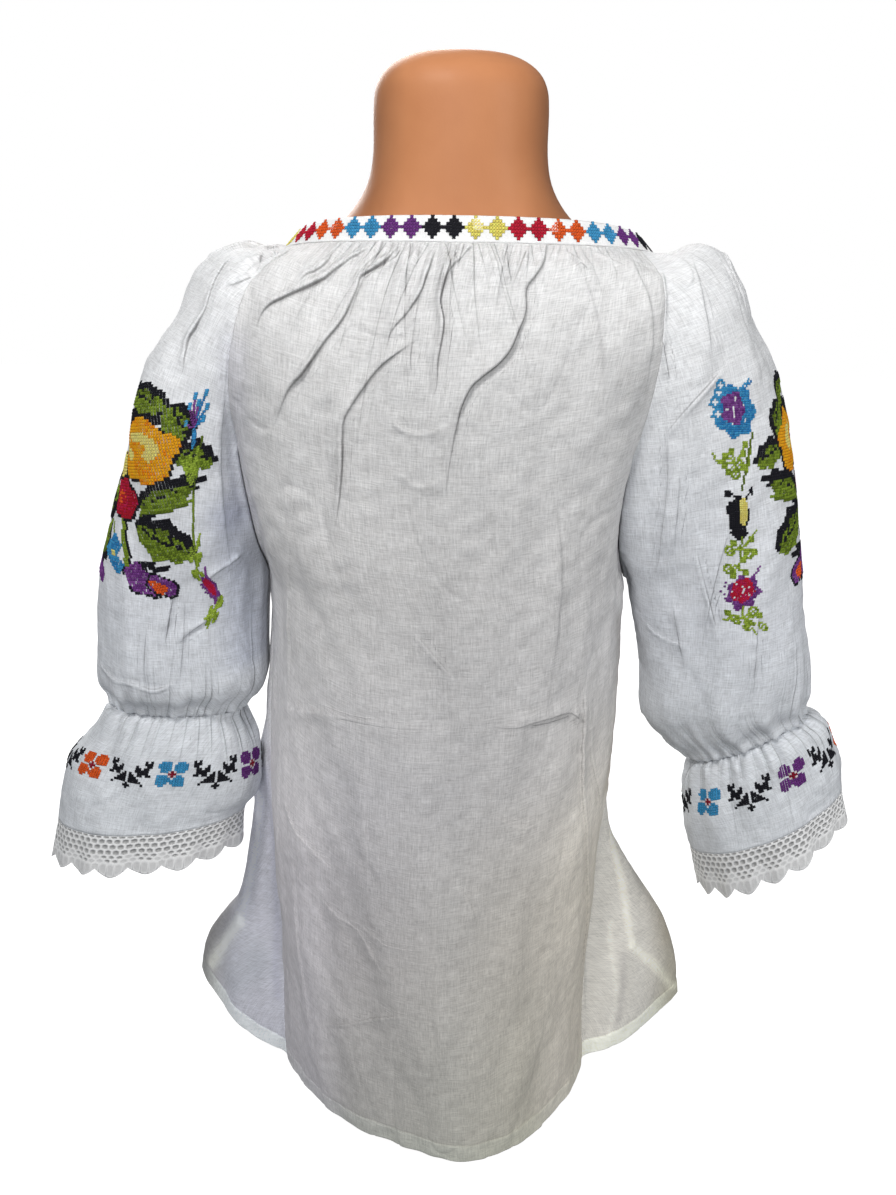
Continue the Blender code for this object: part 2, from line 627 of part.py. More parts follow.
def neckband():
    """The band: a standing strip whose lower edge is the neckline."""
    outer_low, outer_top, inner_low, inner_top = [], [], [], []
    for step in range(BAND_COLUMNS):
        turn = 2.0 * math.pi * step / BAND_COLUMNS
        half = SLEEVE["left" if math.cos(turn) > 0 else "right"][0].outer_x
        centre = SLEEVE["left"][0].centre_y
        through = BODY[0].back - centre if math.sin(turn) > 0 else BODY[0].front + centre
        spot = np.array((half * math.cos(turn), centre + through * math.sin(turn), 0.0))
        outward = np.array((math.cos(turn) / half, math.sin(turn) / through, 0.0))
        outward /= np.linalg.norm(outward)
        spot[2] = NECK_Z - neck_drop(turn, 0.0)
        lean = BAND_LEAN_BACK + (BAND_LEAN_SIDE - BAND_LEAN_BACK) * math.cos(turn) ** 2
        rise = math.sqrt(BAND_HEIGHT**2 - lean**2)
        top = spot - outward * lean + np.array((0.0, 0.0, rise))
        outer_low.append(spot)
        outer_top.append(top)
        inner_low.append(spot - outward * BAND_WALL)
        inner_top.append(top - outward * BAND_WALL)
    points = outer_low + outer_top + inner_top + inner_low
    n = BAND_COLUMNS
    faces = []
    for i in range(n):
        j = (i + 1) % n
        for ring in range(4):
            low, high = ring * n, (ring + 1) % 4 * n
            faces.append((low + i, low + j, high + j, high + i))
    return points, faces


def build_blouse():
    cloth = material("white_cloth", WHITE_CLOTH)
    crochet = material("white_lace", WHITE_LACE)
    sheets = [panel_sheet(False), panel_sheet(True)]
    for side in ("left", "right"):
        sheets.append(sleeve_sheet(side))
        sheets.append(cuff_sheet(side, "ruffle", CUFF_ROWS, CLOTH))
        sheets.append(cuff_sheet(side, "lace", LACE_ROWS, LACE))
    normals = shared_normals(sheets)
    open_seams(sheets)
    for sheet in sheets:
        points, faces = wall_mesh(sheet, normals)
        add_object(sheet.name, points, faces, crochet if "lace" in sheet.name else cloth)
    points, faces = neckband()
    add_object("neckband", points, faces, cloth)


# ---------------------------------------------------------------- the form
def build_form():
    """A smooth turned-looking torso and neck with a domed top and a flat base."""
    points, faces = [], []
    for hull in FORM:
        middle = (hull.back + hull.front) / 2.0
        through = (hull.back - hull.front) / 2.0
        for step in range(FORM_COLUMNS):
            turn = 2.0 * math.pi * step / FORM_COLUMNS
            cos, sin = math.cos(turn), math.sin(turn)
            x = hull.half * math.copysign(abs(cos) ** (2.0 / FORM_POWER), cos)
            y = middle + through * math.copysign(abs(sin) ** (2.0 / FORM_POWER), sin)
            points.append((FORM_X + x, y, hull.z))
    n = FORM_COLUMNS
    for row in range(len(FORM) - 1):
        for i in range(n):
            j = (i + 1) % n
            faces.append((row * n + i, row * n + j, (row + 1) * n + j, (row + 1) * n + i))
    top = FORM[-1]
    points.append((FORM_X, (top.back + top.front) / 2.0, FORM_TOP))
    last = (len(FORM) - 1) * n
    faces += [(last + i, last + (i + 1) % n, len(points) - 1) for i in range(n)]
    faces.append(tuple(range(n - 1, -1, -1)))
    add_object("torso_form", points, faces, material("tan_plastic", TAN_PLASTIC))


def main():
    clear_scene()
    build_blouse()
    build_form()


main()
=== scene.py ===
"""Looks of the Romanian ie: a gathered raglan blouse, seen from behind, on a limbless torso form.

Metres, in the CAD model's frame. Each cloth piece is a fine grid on the CAD's own section
tables, moved out and in by creases, gathers and soft unevenness, and closed as a thin shell.
"""

import math
from collections import namedtuple

import bpy
import numpy as np
from mathutils import Matrix, Vector
from mathutils.bvhtree import BVHTree


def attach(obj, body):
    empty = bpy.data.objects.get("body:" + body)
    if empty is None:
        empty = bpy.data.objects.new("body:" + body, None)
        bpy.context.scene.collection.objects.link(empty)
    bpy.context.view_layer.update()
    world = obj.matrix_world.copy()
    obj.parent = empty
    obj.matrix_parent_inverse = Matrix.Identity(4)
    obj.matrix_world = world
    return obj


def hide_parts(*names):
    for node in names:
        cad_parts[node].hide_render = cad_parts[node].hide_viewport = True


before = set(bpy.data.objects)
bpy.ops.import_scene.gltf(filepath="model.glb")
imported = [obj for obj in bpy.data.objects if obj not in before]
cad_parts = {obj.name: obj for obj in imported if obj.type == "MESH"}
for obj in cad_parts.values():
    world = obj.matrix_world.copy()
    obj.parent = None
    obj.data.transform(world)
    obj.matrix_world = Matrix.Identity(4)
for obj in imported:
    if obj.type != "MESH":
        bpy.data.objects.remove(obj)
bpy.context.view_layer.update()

MM = 0.001
SIDES = ("left", "right")
HAND = {"left": 1.0, "right": -1.0}  # the way each sleeve lies along X

# ---------------------------------------------------------------- sizes shared with the CAD
BAND_HEIGHT = 0.015
BAND_WALL = 0.0018
BAND_LEAN_BACK = 0.0025
BAND_LEAN_SIDE = 0.0110
NECK_Z = 0.7025
NECK_DROP = 0.046
NECK_DROP_POWER = 2.4
NECK_DROP_FADE = 1.4
RAGLAN_ANGLE = 30.0
BAND_OPENING = 150
UNDERARM_ROW = 9

Ring = namedtuple("Ring", "outer_x outer_z inner_x inner_z opening depth centre_y lift")
SLEEVE = {
    "left": (
        Ring(0.1205, 0.7025, 0.1044, 0.7025, BAND_OPENING, 0.087, -0.012, 0.0),
        Ring(0.1480, 0.7065, 0.1180, 0.6900, 120, 0.085, -0.010, 0.0),
        Ring(0.1735, 0.6900, 0.1270, 0.6760, 100, 0.084, -0.008, 0.0),
        Ring(0.1930, 0.6590, 0.1340, 0.6560, 86, 0.083, -0.006, 0.0),
        Ring(0.2110, 0.6280, 0.1395, 0.6300, 75, 0.080, -0.004, 0.0),
        Ring(0.2245, 0.5920, 0.1425, 0.6000, 64, 0.077, -0.003, 0.0),
        Ring(0.2370, 0.5520, 0.1430, 0.5680, 53, 0.073, -0.002, 0.0),
        Ring(0.2470, 0.5150, 0.1420, 0.5360, 40, 0.069, -0.001, 0.0),
        Ring(0.2560, 0.4800, 0.1410, 0.5050, 24, 0.065, 0.0, 0.0),
        Ring(0.2640, 0.4450, 0.1400, 0.4750, 0, 0.062, 0.0, 0.0),
        Ring(0.2680, 0.4250, 0.1445, 0.4450, 0, 0.060, 0.0, 0.001),
        Ring(0.2720, 0.4050, 0.1465, 0.4180, 0, 0.057, 0.0, 0.002),
        Ring(0.2735, 0.3850, 0.1475, 0.3920, 0, 0.052, 0.0, 0.004),
        Ring(0.2655, 0.3650, 0.1655, 0.3620, 0, 0.039, 0.0, 0.008),
    ),
    "right": (
        Ring(0.1285, 0.7025, 0.1113, 0.7025, BAND_OPENING, 0.087, -0.012, 0.0),
        Ring(0.1550, 0.7100, 0.1160, 0.6900, 120, 0.085, -0.010, 0.0),
        Ring(0.1780, 0.6945, 0.1180, 0.6760, 100, 0.084, -0.008, 0.0),
        Ring(0.1950, 0.6650, 0.1187, 0.6560, 86, 0.083, -0.006, 0.0),
        Ring(0.2110, 0.6360, 0.1170, 0.6300, 75, 0.080, -0.004, 0.0),
        Ring(0.2240, 0.6030, 0.1135, 0.6000, 64, 0.077, -0.003, 0.0),
        Ring(0.2350, 0.5650, 0.1100, 0.5680, 53, 0.073, -0.002, 0.0),
        Ring(0.2450, 0.5300, 0.1095, 0.5360, 40, 0.069, -0.001, 0.0),
        Ring(0.2520, 0.4950, 0.1140, 0.5030, 24, 0.065, 0.0, 0.0),
        Ring(0.2575, 0.4620, 0.1240, 0.4750, 0, 0.062, 0.0, 0.0),
        Ring(0.2620, 0.4360, 0.1360, 0.4400, 0, 0.060, 0.0, 0.002),
        Ring(0.2665, 0.4120, 0.1430, 0.4080, 0, 0.057, 0.0, 0.004),
        Ring(0.2700, 0.3880, 0.1520, 0.3600, 0, 0.051, 0.0, 0.007),
        Ring(0.2720, 0.3680, 0.1940, 0.3210, 0, 0.037, 0.0, 0.012),
    ),
}
CUFF = {
    "left": (
        Ring(0.2655, 0.3650, 0.1655, 0.3620, 0, 0.039, 0.0, 0.008),
        Ring(0.2860, 0.3420, 0.1585, 0.3400, 0, 0.046, 0.0, 0.008),
        Ring(0.3030, 0.3210, 0.1560, 0.3130, 0, 0.049, 0.0, 0.009),
        Ring(0.3140, 0.2980, 0.1585, 0.2880, 0, 0.051, 0.0, 0.009),
        Ring(0.3210, 0.2640, 0.1700, 0.2700, 0, 0.053, 0.0, 0.009),
        Ring(0.3290, 0.2290, 0.1740, 0.2400, 0, 0.055, 0.0, 0.008),
    ),
    "right": (
        Ring(0.2720, 0.3680, 0.1940, 0.3210, 0, 0.037, 0.0, 0.012),
        Ring(0.2870, 0.3620, 0.1910, 0.3030, 0, 0.043, 0.0, 0.012),
        Ring(0.2980, 0.3460, 0.1910, 0.2840, 0, 0.046, 0.0, 0.012),
        Ring(0.3060, 0.3290, 0.1940, 0.2630, 0, 0.049, 0.0, 0.012),
        Ring(0.3110, 0.3090, 0.2010, 0.2390, 0, 0.051, 0.0, 0.012),
        Ring(0.3170, 0.2860, 0.2140, 0.1990, 0, 0.053, 0.0, 0.012),
    ),
}
Section = namedtuple(
    "Section", "z left right back front wing_left wing_right power_left power_right"
)
BODY = (
    Section(0.7025, 0.1205, 0.1285, 0.0750, 0.100, 0.0, 0.0, 2.0, 2.0),
    Section(0.690, 0.130, 0.130, 0.0880, 0.104, 0.0, 0.0, 2.0, 2.0),
    Section(0.660, 0.140, 0.135, 0.0980, 0.110, 0.0, 0.0, 2.0, 2.0),
    Section(0.630, 0.142, 0.130, 0.1030, 0.116, 0.0, 0.0, 2.0, 2.0),
    Section(0.580, 0.142, 0.127, 0.1060, 0.122, 0.0, 0.0, 2.0, 2.0),
    Section(0.530, 0.141, 0.125, 0.1050, 0.124, 0.0, 0.0, 2.0, 2.0),
    Section(0.475, 0.140, 0.124, 0.1040, 0.120, 0.0, 0.0, 2.0, 2.0),
    Section(0.420, 0.140, 0.127, 0.1030, 0.118, 0.001, 0.0, 2.0, 2.0),
    Section(0.360, 0.143, 0.126, 0.1040, 0.120, 0.008, 0.002, 1.97, 1.98),
    Section(0.290, 0.145, 0.122, 0.1060, 0.126, 0.026, 0.011, 1.92, 1.96),
    Section(0.240, 0.146, 0.119, 0.1080, 0.131, 0.035, 0.025, 1.87, 1.93),
    Section(0.190, 0.147, 0.119, 0.1095, 0.137, 0.047, 0.048, 1.80, 1.90),
    Section(0.148, 0.147, 0.120, 0.1110, 0.142, 0.058, 0.069, 1.73, 1.86),
    Section(0.104, 0.147, 0.122, 0.1130, 0.148, 0.082, 0.091, 1.66, 1.82),
    Section(0.060, 0.147, 0.124, 0.1143, 0.155, 0.098, 0.104, 1.60, 1.78),
    Section(0.020, 0.147, 0.126, 0.1155, 0.161, 0.105, 0.111, 1.54, 1.74),
)
WING_BACK, WING_FRONT = -17.0, -27.0
WING_BACK_FALL, WING_FRONT_FALL = 22.0, 52.0
CORNER_TOP, CORNER_FADE = 0.16, 0.06
CORNER_LIFT = {"left": 0.019, "right": 0.0}
LIFT_TOP, LIFT_FADE = 0.12, 0.10
SEAM_SWING = 6.0
SEAM_SETTLE = 0.10

Hull = namedtuple("Hull", "z half back front")
FORM = (
    Hull(0.000, 0.096, 0.074, -0.074),
    Hull(0.006, 0.102, 0.080, -0.080),
    Hull(0.080, 0.104, 0.083, -0.083),
    Hull(0.150, 0.104, 0.084, -0.084),
    Hull(0.230, 0.101, 0.081, -0.082),
    Hull(0.300, 0.097, 0.075, -0.079),
    Hull(0.360, 0.095, 0.072, -0.079),
    Hull(0.420, 0.099, 0.076, -0.085),
    Hull(0.480, 0.104, 0.083, -0.094),
    Hull(0.530, 0.111, 0.088, -0.099),
    Hull(0.575, 0.123, 0.090, -0.096),
    Hull(0.615, 0.139, 0.087, -0.086),
    Hull(0.643, 0.148, 0.081, -0.078),
    Hull(0.660, 0.149, 0.074, -0.071),
    Hull(0.673, 0.143, 0.067, -0.066),
    Hull(0.683, 0.1328, 0.062, -0.062),
    Hull(0.691, 0.1190, 0.058, -0.060),
    Hull(0.700, 0.1022, 0.056, -0.058),
    Hull(0.710, 0.0850, 0.055, -0.057),
    Hull(0.722, 0.070, 0.054, -0.057),
    Hull(0.738, 0.0595, 0.0535, -0.057),
    Hull(0.756, 0.0555, 0.0530, -0.0565),
    Hull(0.780, 0.0550, 0.0525, -0.0560),
    Hull(0.7925, 0.0535, 0.0510, -0.0545),
    Hull(0.8015, 0.0480, 0.0455, -0.0490),
    Hull(0.8080, 0.0370, 0.0350, -0.0385),
    Hull(0.8108, 0.0220, 0.0205, -0.0240),
)
FORM_TOP = 0.8118
FORM_X = 0.003
FORM_POWER = 2.25

# ---------------------------------------------------------------- fineness
FINE = 500  # points on a curve before it is spaced out
YOKE_STEPS = 200  # rows of points from the band to the underarm
YOKE_PACE = 1.15  # packs them closer under the band
BODY_STEPS = 130
ARM_STEPS = 60
ARM_PACE = 1.35  # packs the sleeve's rows closer above the cuff
HEM_STEPS = 20  # of the body's rows, those in the hem
HEM = 0.016
HEM_SPARE = 0.003  # the close rows begin this far above the hem
BACK_COLUMNS = 236
FRONT_COLUMNS = 180
SLEEVE_COLUMNS = 172
CUFF_STEPS = 60
LACE_ROW = 4  # the cuff table's row where the edging is sewn on
SHELL = 0.0007  # thickness of the cloth
FAR_SIDE = 0.02  # the distance stored where no line runs
LINE_REACH = 0.006  # how far from a fold its line of painted shade is kept


# ---------------------------------------------------------------- reading the tables
def curve_at(table, places):
    """The table's rows at fractional places, on smooth curves through them."""
    rows = np.array(table, dtype=float)
    places = np.atleast_1d(np.asarray(places, dtype=float))
    low = np.clip(np.floor(places).astype(int), 0, len(rows) - 2)
    s = (places - low)[:, None]
    before, after = np.maximum(low - 1, 0), np.minimum(low + 2, len(rows) - 1)
    start, end = rows[low], rows[low + 1]
    leave = (end - rows[before]) / (low + 1 - before)[:, None]
    arrive = (rows[after] - start) / (after - low)[:, None]
    return (
        start * (2 * s**3 - 3 * s**2 + 1)
        + leave * (s**3 - 2 * s**2 + s)
        + end * (3 * s**2 - 2 * s**3)
        + arrive * (s**3 - s**2)
    )


def between(table, place):
    """A table's row at one fractional place."""
    return type(table[0])(*curve_at(table, place)[0])


def body_at(z):
    """The body's section at a height."""
    heights = [row.z for row in BODY]
    for low in range(len(BODY) - 1):
        if heights[low] >= z >= heights[low + 1]:
            break
    place = low + (heights[low] - z) / (heights[low] - heights[low + 1])
    return between(BODY, min(max(place, 0.0), len(BODY) - 1.0))


def neck_drop(turn, place):
    """How much lower the cloth lies towards the front, fading from the band to the underarm."""
    fade = max(0.0, 1.0 - place / UNDERARM_ROW) ** NECK_DROP_FADE
    return NECK_DROP * fade * ((1.0 - np.sin(turn)) / 2.0) ** NECK_DROP_POWER


def smooth(t):
    """An even step from 0 at 0 to 1 at 1."""
    t = np.clip(t, 0.0, 1.0)
    return t * t * (3.0 - 2.0 * t)


def bell(t):
    """A bump of height 1 at 0."""
    return np.exp(-(t**2))


def spaced(curve, count):
    """count + 1 points evenly spaced along a finely drawn curve."""
    steps = np.linalg.norm(np.diff(curve, axis=0), axis=1)
    along = np.concatenate(([0.0], np.cumsum(steps)))
    wanted = np.linspace(0.0, along[-1], count + 1)
    return np.stack([np.interp(wanted, along, curve[:, axis]) for axis in range(3)], axis=1)


def sleeve_ring(side, table, place, count):
    """A sleeve's ring, from its back seam round the outside to its front seam."""
    ring = between(table[side], place)
    opening = math.radians(max(ring.opening, 0.0)) if place < UNDERARM_ROW else 0.0
    reach = math.pi - opening
    across = (ring.outer_x - ring.inner_x) / (1.0 + math.cos(opening))
    angle = np.linspace(reach, -reach, FINE)
    x = ring.outer_x - across + across * np.cos(angle)
    y = ring.centre_y + ring.depth * np.sin(angle)
    share = (x - ring.inner_x) / (ring.outer_x - ring.inner_x)
    z = ring.inner_z + (ring.outer_z - ring.inner_z) * share + ring.lift * np.sin(angle)
    if table is SLEEVE:
        z = z - neck_drop(math.radians(RAGLAN_ANGLE) * angle / reach, place)
    return spaced(np.stack((HAND[side] * x, y, z), axis=1), count)


def ring_grid(side, table, places, count):
    """A sleeve's or cuff's rings, run so that the cloth's normals point outwards."""
    grid = np.array([sleeve_ring(side, table, place, count) for place in places])
    return grid[:, ::-1] if side == "right" else grid


def yoke_row(place, front, count):
    """A row of the front or back panel above the underarm, from the right seam to the left."""
    facing = -1.0 if front else 1.0
    raglan = math.radians(RAGLAN_ANGLE)
    halves = {}
    for side in SIDES:
        ring = between(SLEEVE[side], place)
        seam = sleeve_ring(side, SLEEVE, place, 1)[1 if front else 0]
        section = body_at(ring.inner_z)
        middle_y = facing * (section.front if front else section.back)
        turn = math.radians(max(ring.opening, 0.0) * RAGLAN_ANGLE / BAND_OPENING)
        across = seam[0] / math.cos(turn)
        through = (middle_y - seam[1]) / (1.0 - math.sin(turn))
        angle = np.linspace(turn, math.pi / 2.0, FINE)
        share = (angle - turn) / (math.pi / 2.0 - turn)
        round_body = facing * (raglan + share * (math.pi / 2.0 - raglan))
        x = across * np.cos(angle)
        y = middle_y + through * (np.sin(angle) - 1.0)
        halves[side] = np.stack((x, y, ring.inner_z - neck_drop(round_body, place)), axis=1)
    right, left = halves["right"], halves["left"]
    whole = np.concatenate((right, left[::-1][1:]))
    rise = right[-1, 2] - left[-1, 2]
    ramp = np.linspace(-0.5, 0.5, len(whole))
    whole[: len(right), 2] -= rise * (0.5 + ramp[: len(right)])
    whole[len(right) :, 2] += rise * (0.5 - ramp[len(right) :])
    return spaced(whole, count)


def wing(degrees, pointed):
    """How far out the loose side stands at an angle from the side towards the back, 0 to 1."""
    back = (degrees - WING_BACK) / WING_BACK_FALL
    front = (WING_FRONT - degrees) / WING_FRONT_FALL
    past = np.clip(np.maximum(back, front), 0.0, 1.0)
    rounded = np.cos(math.pi / 2.0 * past) ** 2
    return rounded + pointed * (1.0 - past - rounded)


def body_curve(z, side, angle):
    """Points of the body below the underarm, by angle from the side towards the back."""
    section = body_at(z)
    left = side == "left"
    half = section.left if left else section.right
    reach = section.wing_left if left else section.wing_right
    back = angle > 0
    depth = np.where(back, section.back, section.front)
    power = np.where(back, section.power_left if left else section.power_right, 2.0)
    radius = (np.abs(np.cos(angle)) / half) ** power + (np.abs(np.sin(angle)) / depth) ** power
    share = wing(np.degrees(angle), smooth((CORNER_TOP - z) / CORNER_FADE))
    radius = radius ** (-1.0 / power) + reach * share
    lift = CORNER_LIFT[side] * share * smooth((LIFT_TOP - z) / LIFT_FADE)
    x = HAND[side] * radius * np.cos(angle)
    return np.stack((x, radius * np.sin(angle), z + lift), axis=1)


def body_row(z, front, count):
    """A row of the front or back panel below the underarm, from the right seam to the left."""
    top = SLEEVE["left"][UNDERARM_ROW].inner_z
    seam = math.radians(SEAM_SWING) * smooth((top - z) / SEAM_SETTLE)
    end = -math.pi / 2.0 if front else math.pi / 2.0
    right = body_curve(z, "right", np.linspace(seam, end, FINE))
    left = body_curve(z, "left", np.linspace(end, seam, FINE))
    return spaced(np.concatenate((right, left[1:])), count)


# ---------------------------------------------------------------- cloth pieces
def unit(vectors):
    """Vectors brought to length 1."""
    return vectors / np.linalg.norm(vectors, axis=-1, keepdims=True)


def cell_corners(grid):
    """A grid's values at the four corners of its cells, in order round each cell."""
    return grid[:-1, :-1], grid[:-1, 1:], grid[1:, 1:], grid[1:, :-1]


def grid_normals(grid, closed_from):
    """The normals of a grid whose rows are closed rings from closed_from on."""
    down = np.gradient(grid, axis=0)
    over = np.gradient(grid, axis=1)
    if closed_from is not None:
        wrap = (grid[closed_from:, 1] - grid[closed_from:, -2]) / 2.0
        over[closed_from:, 0] = wrap
        over[closed_from:, -1] = wrap
    return unit(np.cross(over, down))


class Cloth:
    """A cloth piece: its grid of points on the CAD's surface, normals and heights."""

    def __init__(self, name, grid, closed_from=None):
        self.name, self.grid = name, grid
        self.rows, self.columns = grid.shape[0], grid.shape[1] - 1
        self.closed_from = closed_from
        self.normals = grid_normals(grid, closed_from)
        self.height = np.zeros(grid.shape[:2])
        self.lines = {
            kind: (np.full((*grid.shape[:2], 3), FAR_SIDE), np.zeros((*grid.shape[:2], 3)))
            for kind in ("fold", "pleat")
        }
        steps = np.linalg.norm(np.diff(grid, axis=0), axis=2)
        self.fall = np.concatenate((np.zeros((1, self.columns + 1)), np.cumsum(steps, axis=0)))
        widths = np.linalg.norm(np.diff(grid, axis=1), axis=2)
        self.across = np.concatenate((np.zeros((self.rows, 1)), np.cumsum(widths, axis=1)), axis=1)
        self.width = self.across[:, -1]
        self.share = self.across / self.width[:, None]
        self.to_end = self.fall[-1] - self.fall
        self.to_side = np.minimum(self.from_side(0), self.from_side(-1))

    def from_side(self, column):
        """How far along its row each point lies from the first or last column."""
        return self.across if column == 0 else self.width[:, None] - self.across

    def draw(self, kind, side, strength):
        """Keeps a line's signed distance and strength where no other line of its layer runs; the material
        paints shade along these lines.
        """
        strength = strength * smooth((LINE_REACH - np.abs(side)) / (0.5 * LINE_REACH))
        here = strength > 0.02
        if not here.any():
            return
        sides, strengths = self.lines[kind]
        clashes = [float(strengths[..., k][here].sum()) for k in range(3)]
        layer = int(np.argmin(clashes))
        here &= strength > strengths[..., layer]
        sides[..., layer][here] = side[here]
        strengths[..., layer][here] = strength[here]

    def finish(self):
        """Fixes the final outer points and their normals."""
        self.outer = self.grid + self.normals * self.height[..., None]
        self.outer_normals = grid_normals(self.outer, self.closed_from)

    def at(self, row, column):
        """Point and normal of the finished surface at fractional rows and columns."""
        row = np.clip(row, 0.0, self.rows - 1.001)
        if self.closed_from == 0:
            column = np.mod(column, self.columns)
        column = np.clip(column, 0.0, self.columns - 0.001)
        r, c = np.floor(row).astype(int), np.floor(column).astype(int)
        a, b = (row - r)[..., None], (column - c)[..., None]
        out = []
        for grid in (self.outer, self.outer_normals):
            top = grid[r, c] * (1 - b) + grid[r, c + 1] * b
            low = grid[r + 1, c] * (1 - b) + grid[r + 1, c + 1] * b
            out.append(top * (1 - a) + low * a)
        return out[0], unit(out[1])


# Seams: a piece and its column, then the piece and column sewn to it.
RAGLAN_SEAMS = (
    ("back", 0, "sleeve_right", -1),
    ("back", -1, "sleeve_left", 0),
    ("front", 0, "sleeve_left", -1),
    ("front", -1, "sleeve_right", 0),
)
SIDE_SEAMS = (("back", 0, "front", -1), ("back", -1, "front", 0))
VALLEY_RADIUS = 0.026
VALLEY_ANGLE, VALLEY_FADE = 105.0, 45.0  # degrees between the normals where rounding stops
BAND_KEEP = 0.012  # how far below the band the rounding comes in


def fill_valleys(made):
    """Rounds out the sharp valley where a sleeve's cap meets the body, down to the armhole."""
    rows = np.arange(YOKE_STEPS + 1)
    grids = {name: piece.grid.copy() for name, piece in made.items()}
    for a, ca, b, cb in RAGLAN_SEAMS:
        na, nb = made[a].normals[rows, ca], made[b].normals[rows, cb]
        angle = np.degrees(np.arccos(np.clip((na * nb).sum(axis=1), -1.0, 1.0)))
        radius = VALLEY_RADIUS * smooth((VALLEY_ANGLE - angle) / VALLEY_FADE) + 1e-6
        half = np.radians(angle) / 2.0
        middle = na + nb
        middle /= np.maximum(np.linalg.norm(middle, axis=1, keepdims=True), 1e-9)
        for name, column in ((a, ca), (b, cb)):
            piece = made[name]
            gap = piece.from_side(column)[rows]
            beside = np.minimum(gap * np.cos(half)[:, None], radius[:, None])
            lift = radius[:, None] / np.cos(half)[:, None]
            lift = lift - np.sqrt(radius[:, None] ** 2 - beside**2) - gap * np.sin(half)[:, None]
            within = gap * np.cos(half)[:, None] < radius[:, None] * np.sin(half)[:, None]
            lift = np.where(within, np.maximum(lift, 0.0), 0.0)
            lift = lift * smooth(piece.fall[rows] / BAND_KEEP)
            grids[name][rows] += middle[:, None, :] * lift[..., None]
    return {name: Cloth(name, grids[name], piece.closed_from) for name, piece in made.items()}


def build_grids():
    """The CAD's surfaces on fine grids, with shared rows where pieces are sewn."""
    places = UNDERARM_ROW * np.linspace(0.0, 1.0, YOKE_STEPS + 1) ** YOKE_PACE
    top = SLEEVE["left"][UNDERARM_ROW].inner_z
    low = BODY[-1].z
    turn = low + HEM + HEM_SPARE
    heights = np.concatenate((
        np.linspace(top, turn, BODY_STEPS - HEM_STEPS + 1)[1:-1],
        np.linspace(turn, low, HEM_STEPS + 1),
    ))
    made = {}
    for name, front, count in (("back", False, BACK_COLUMNS), ("front", True, FRONT_COLUMNS)):
        rows = [yoke_row(place, front, count) for place in places]
        rows += [body_row(z, front, count) for z in heights]
        grid = np.array(rows)
        made[name] = Cloth(name, grid[:, ::-1] if front else grid)
    last = len(SLEEVE["left"]) - 1
    arm = np.linspace(0.0, 1.0, ARM_STEPS + 1)[1:]
    arm = UNDERARM_ROW + (last - UNDERARM_ROW) * (1.0 - (1.0 - arm) ** ARM_PACE)
    arm = np.concatenate((places, arm))
    cuff = np.linspace(0, LACE_ROW, CUFF_STEPS + 1)
    for side in SIDES:
        grid = ring_grid(side, SLEEVE, arm, SLEEVE_COLUMNS)
        made["sleeve_" + side] = Cloth("sleeve_" + side, grid, closed_from=YOKE_STEPS)
        grid = ring_grid(side, CUFF, cuff, SLEEVE_COLUMNS)
        made["ruffle_" + side] = Cloth("ruffle_" + side, grid, closed_from=0)
    return fill_valleys(made)
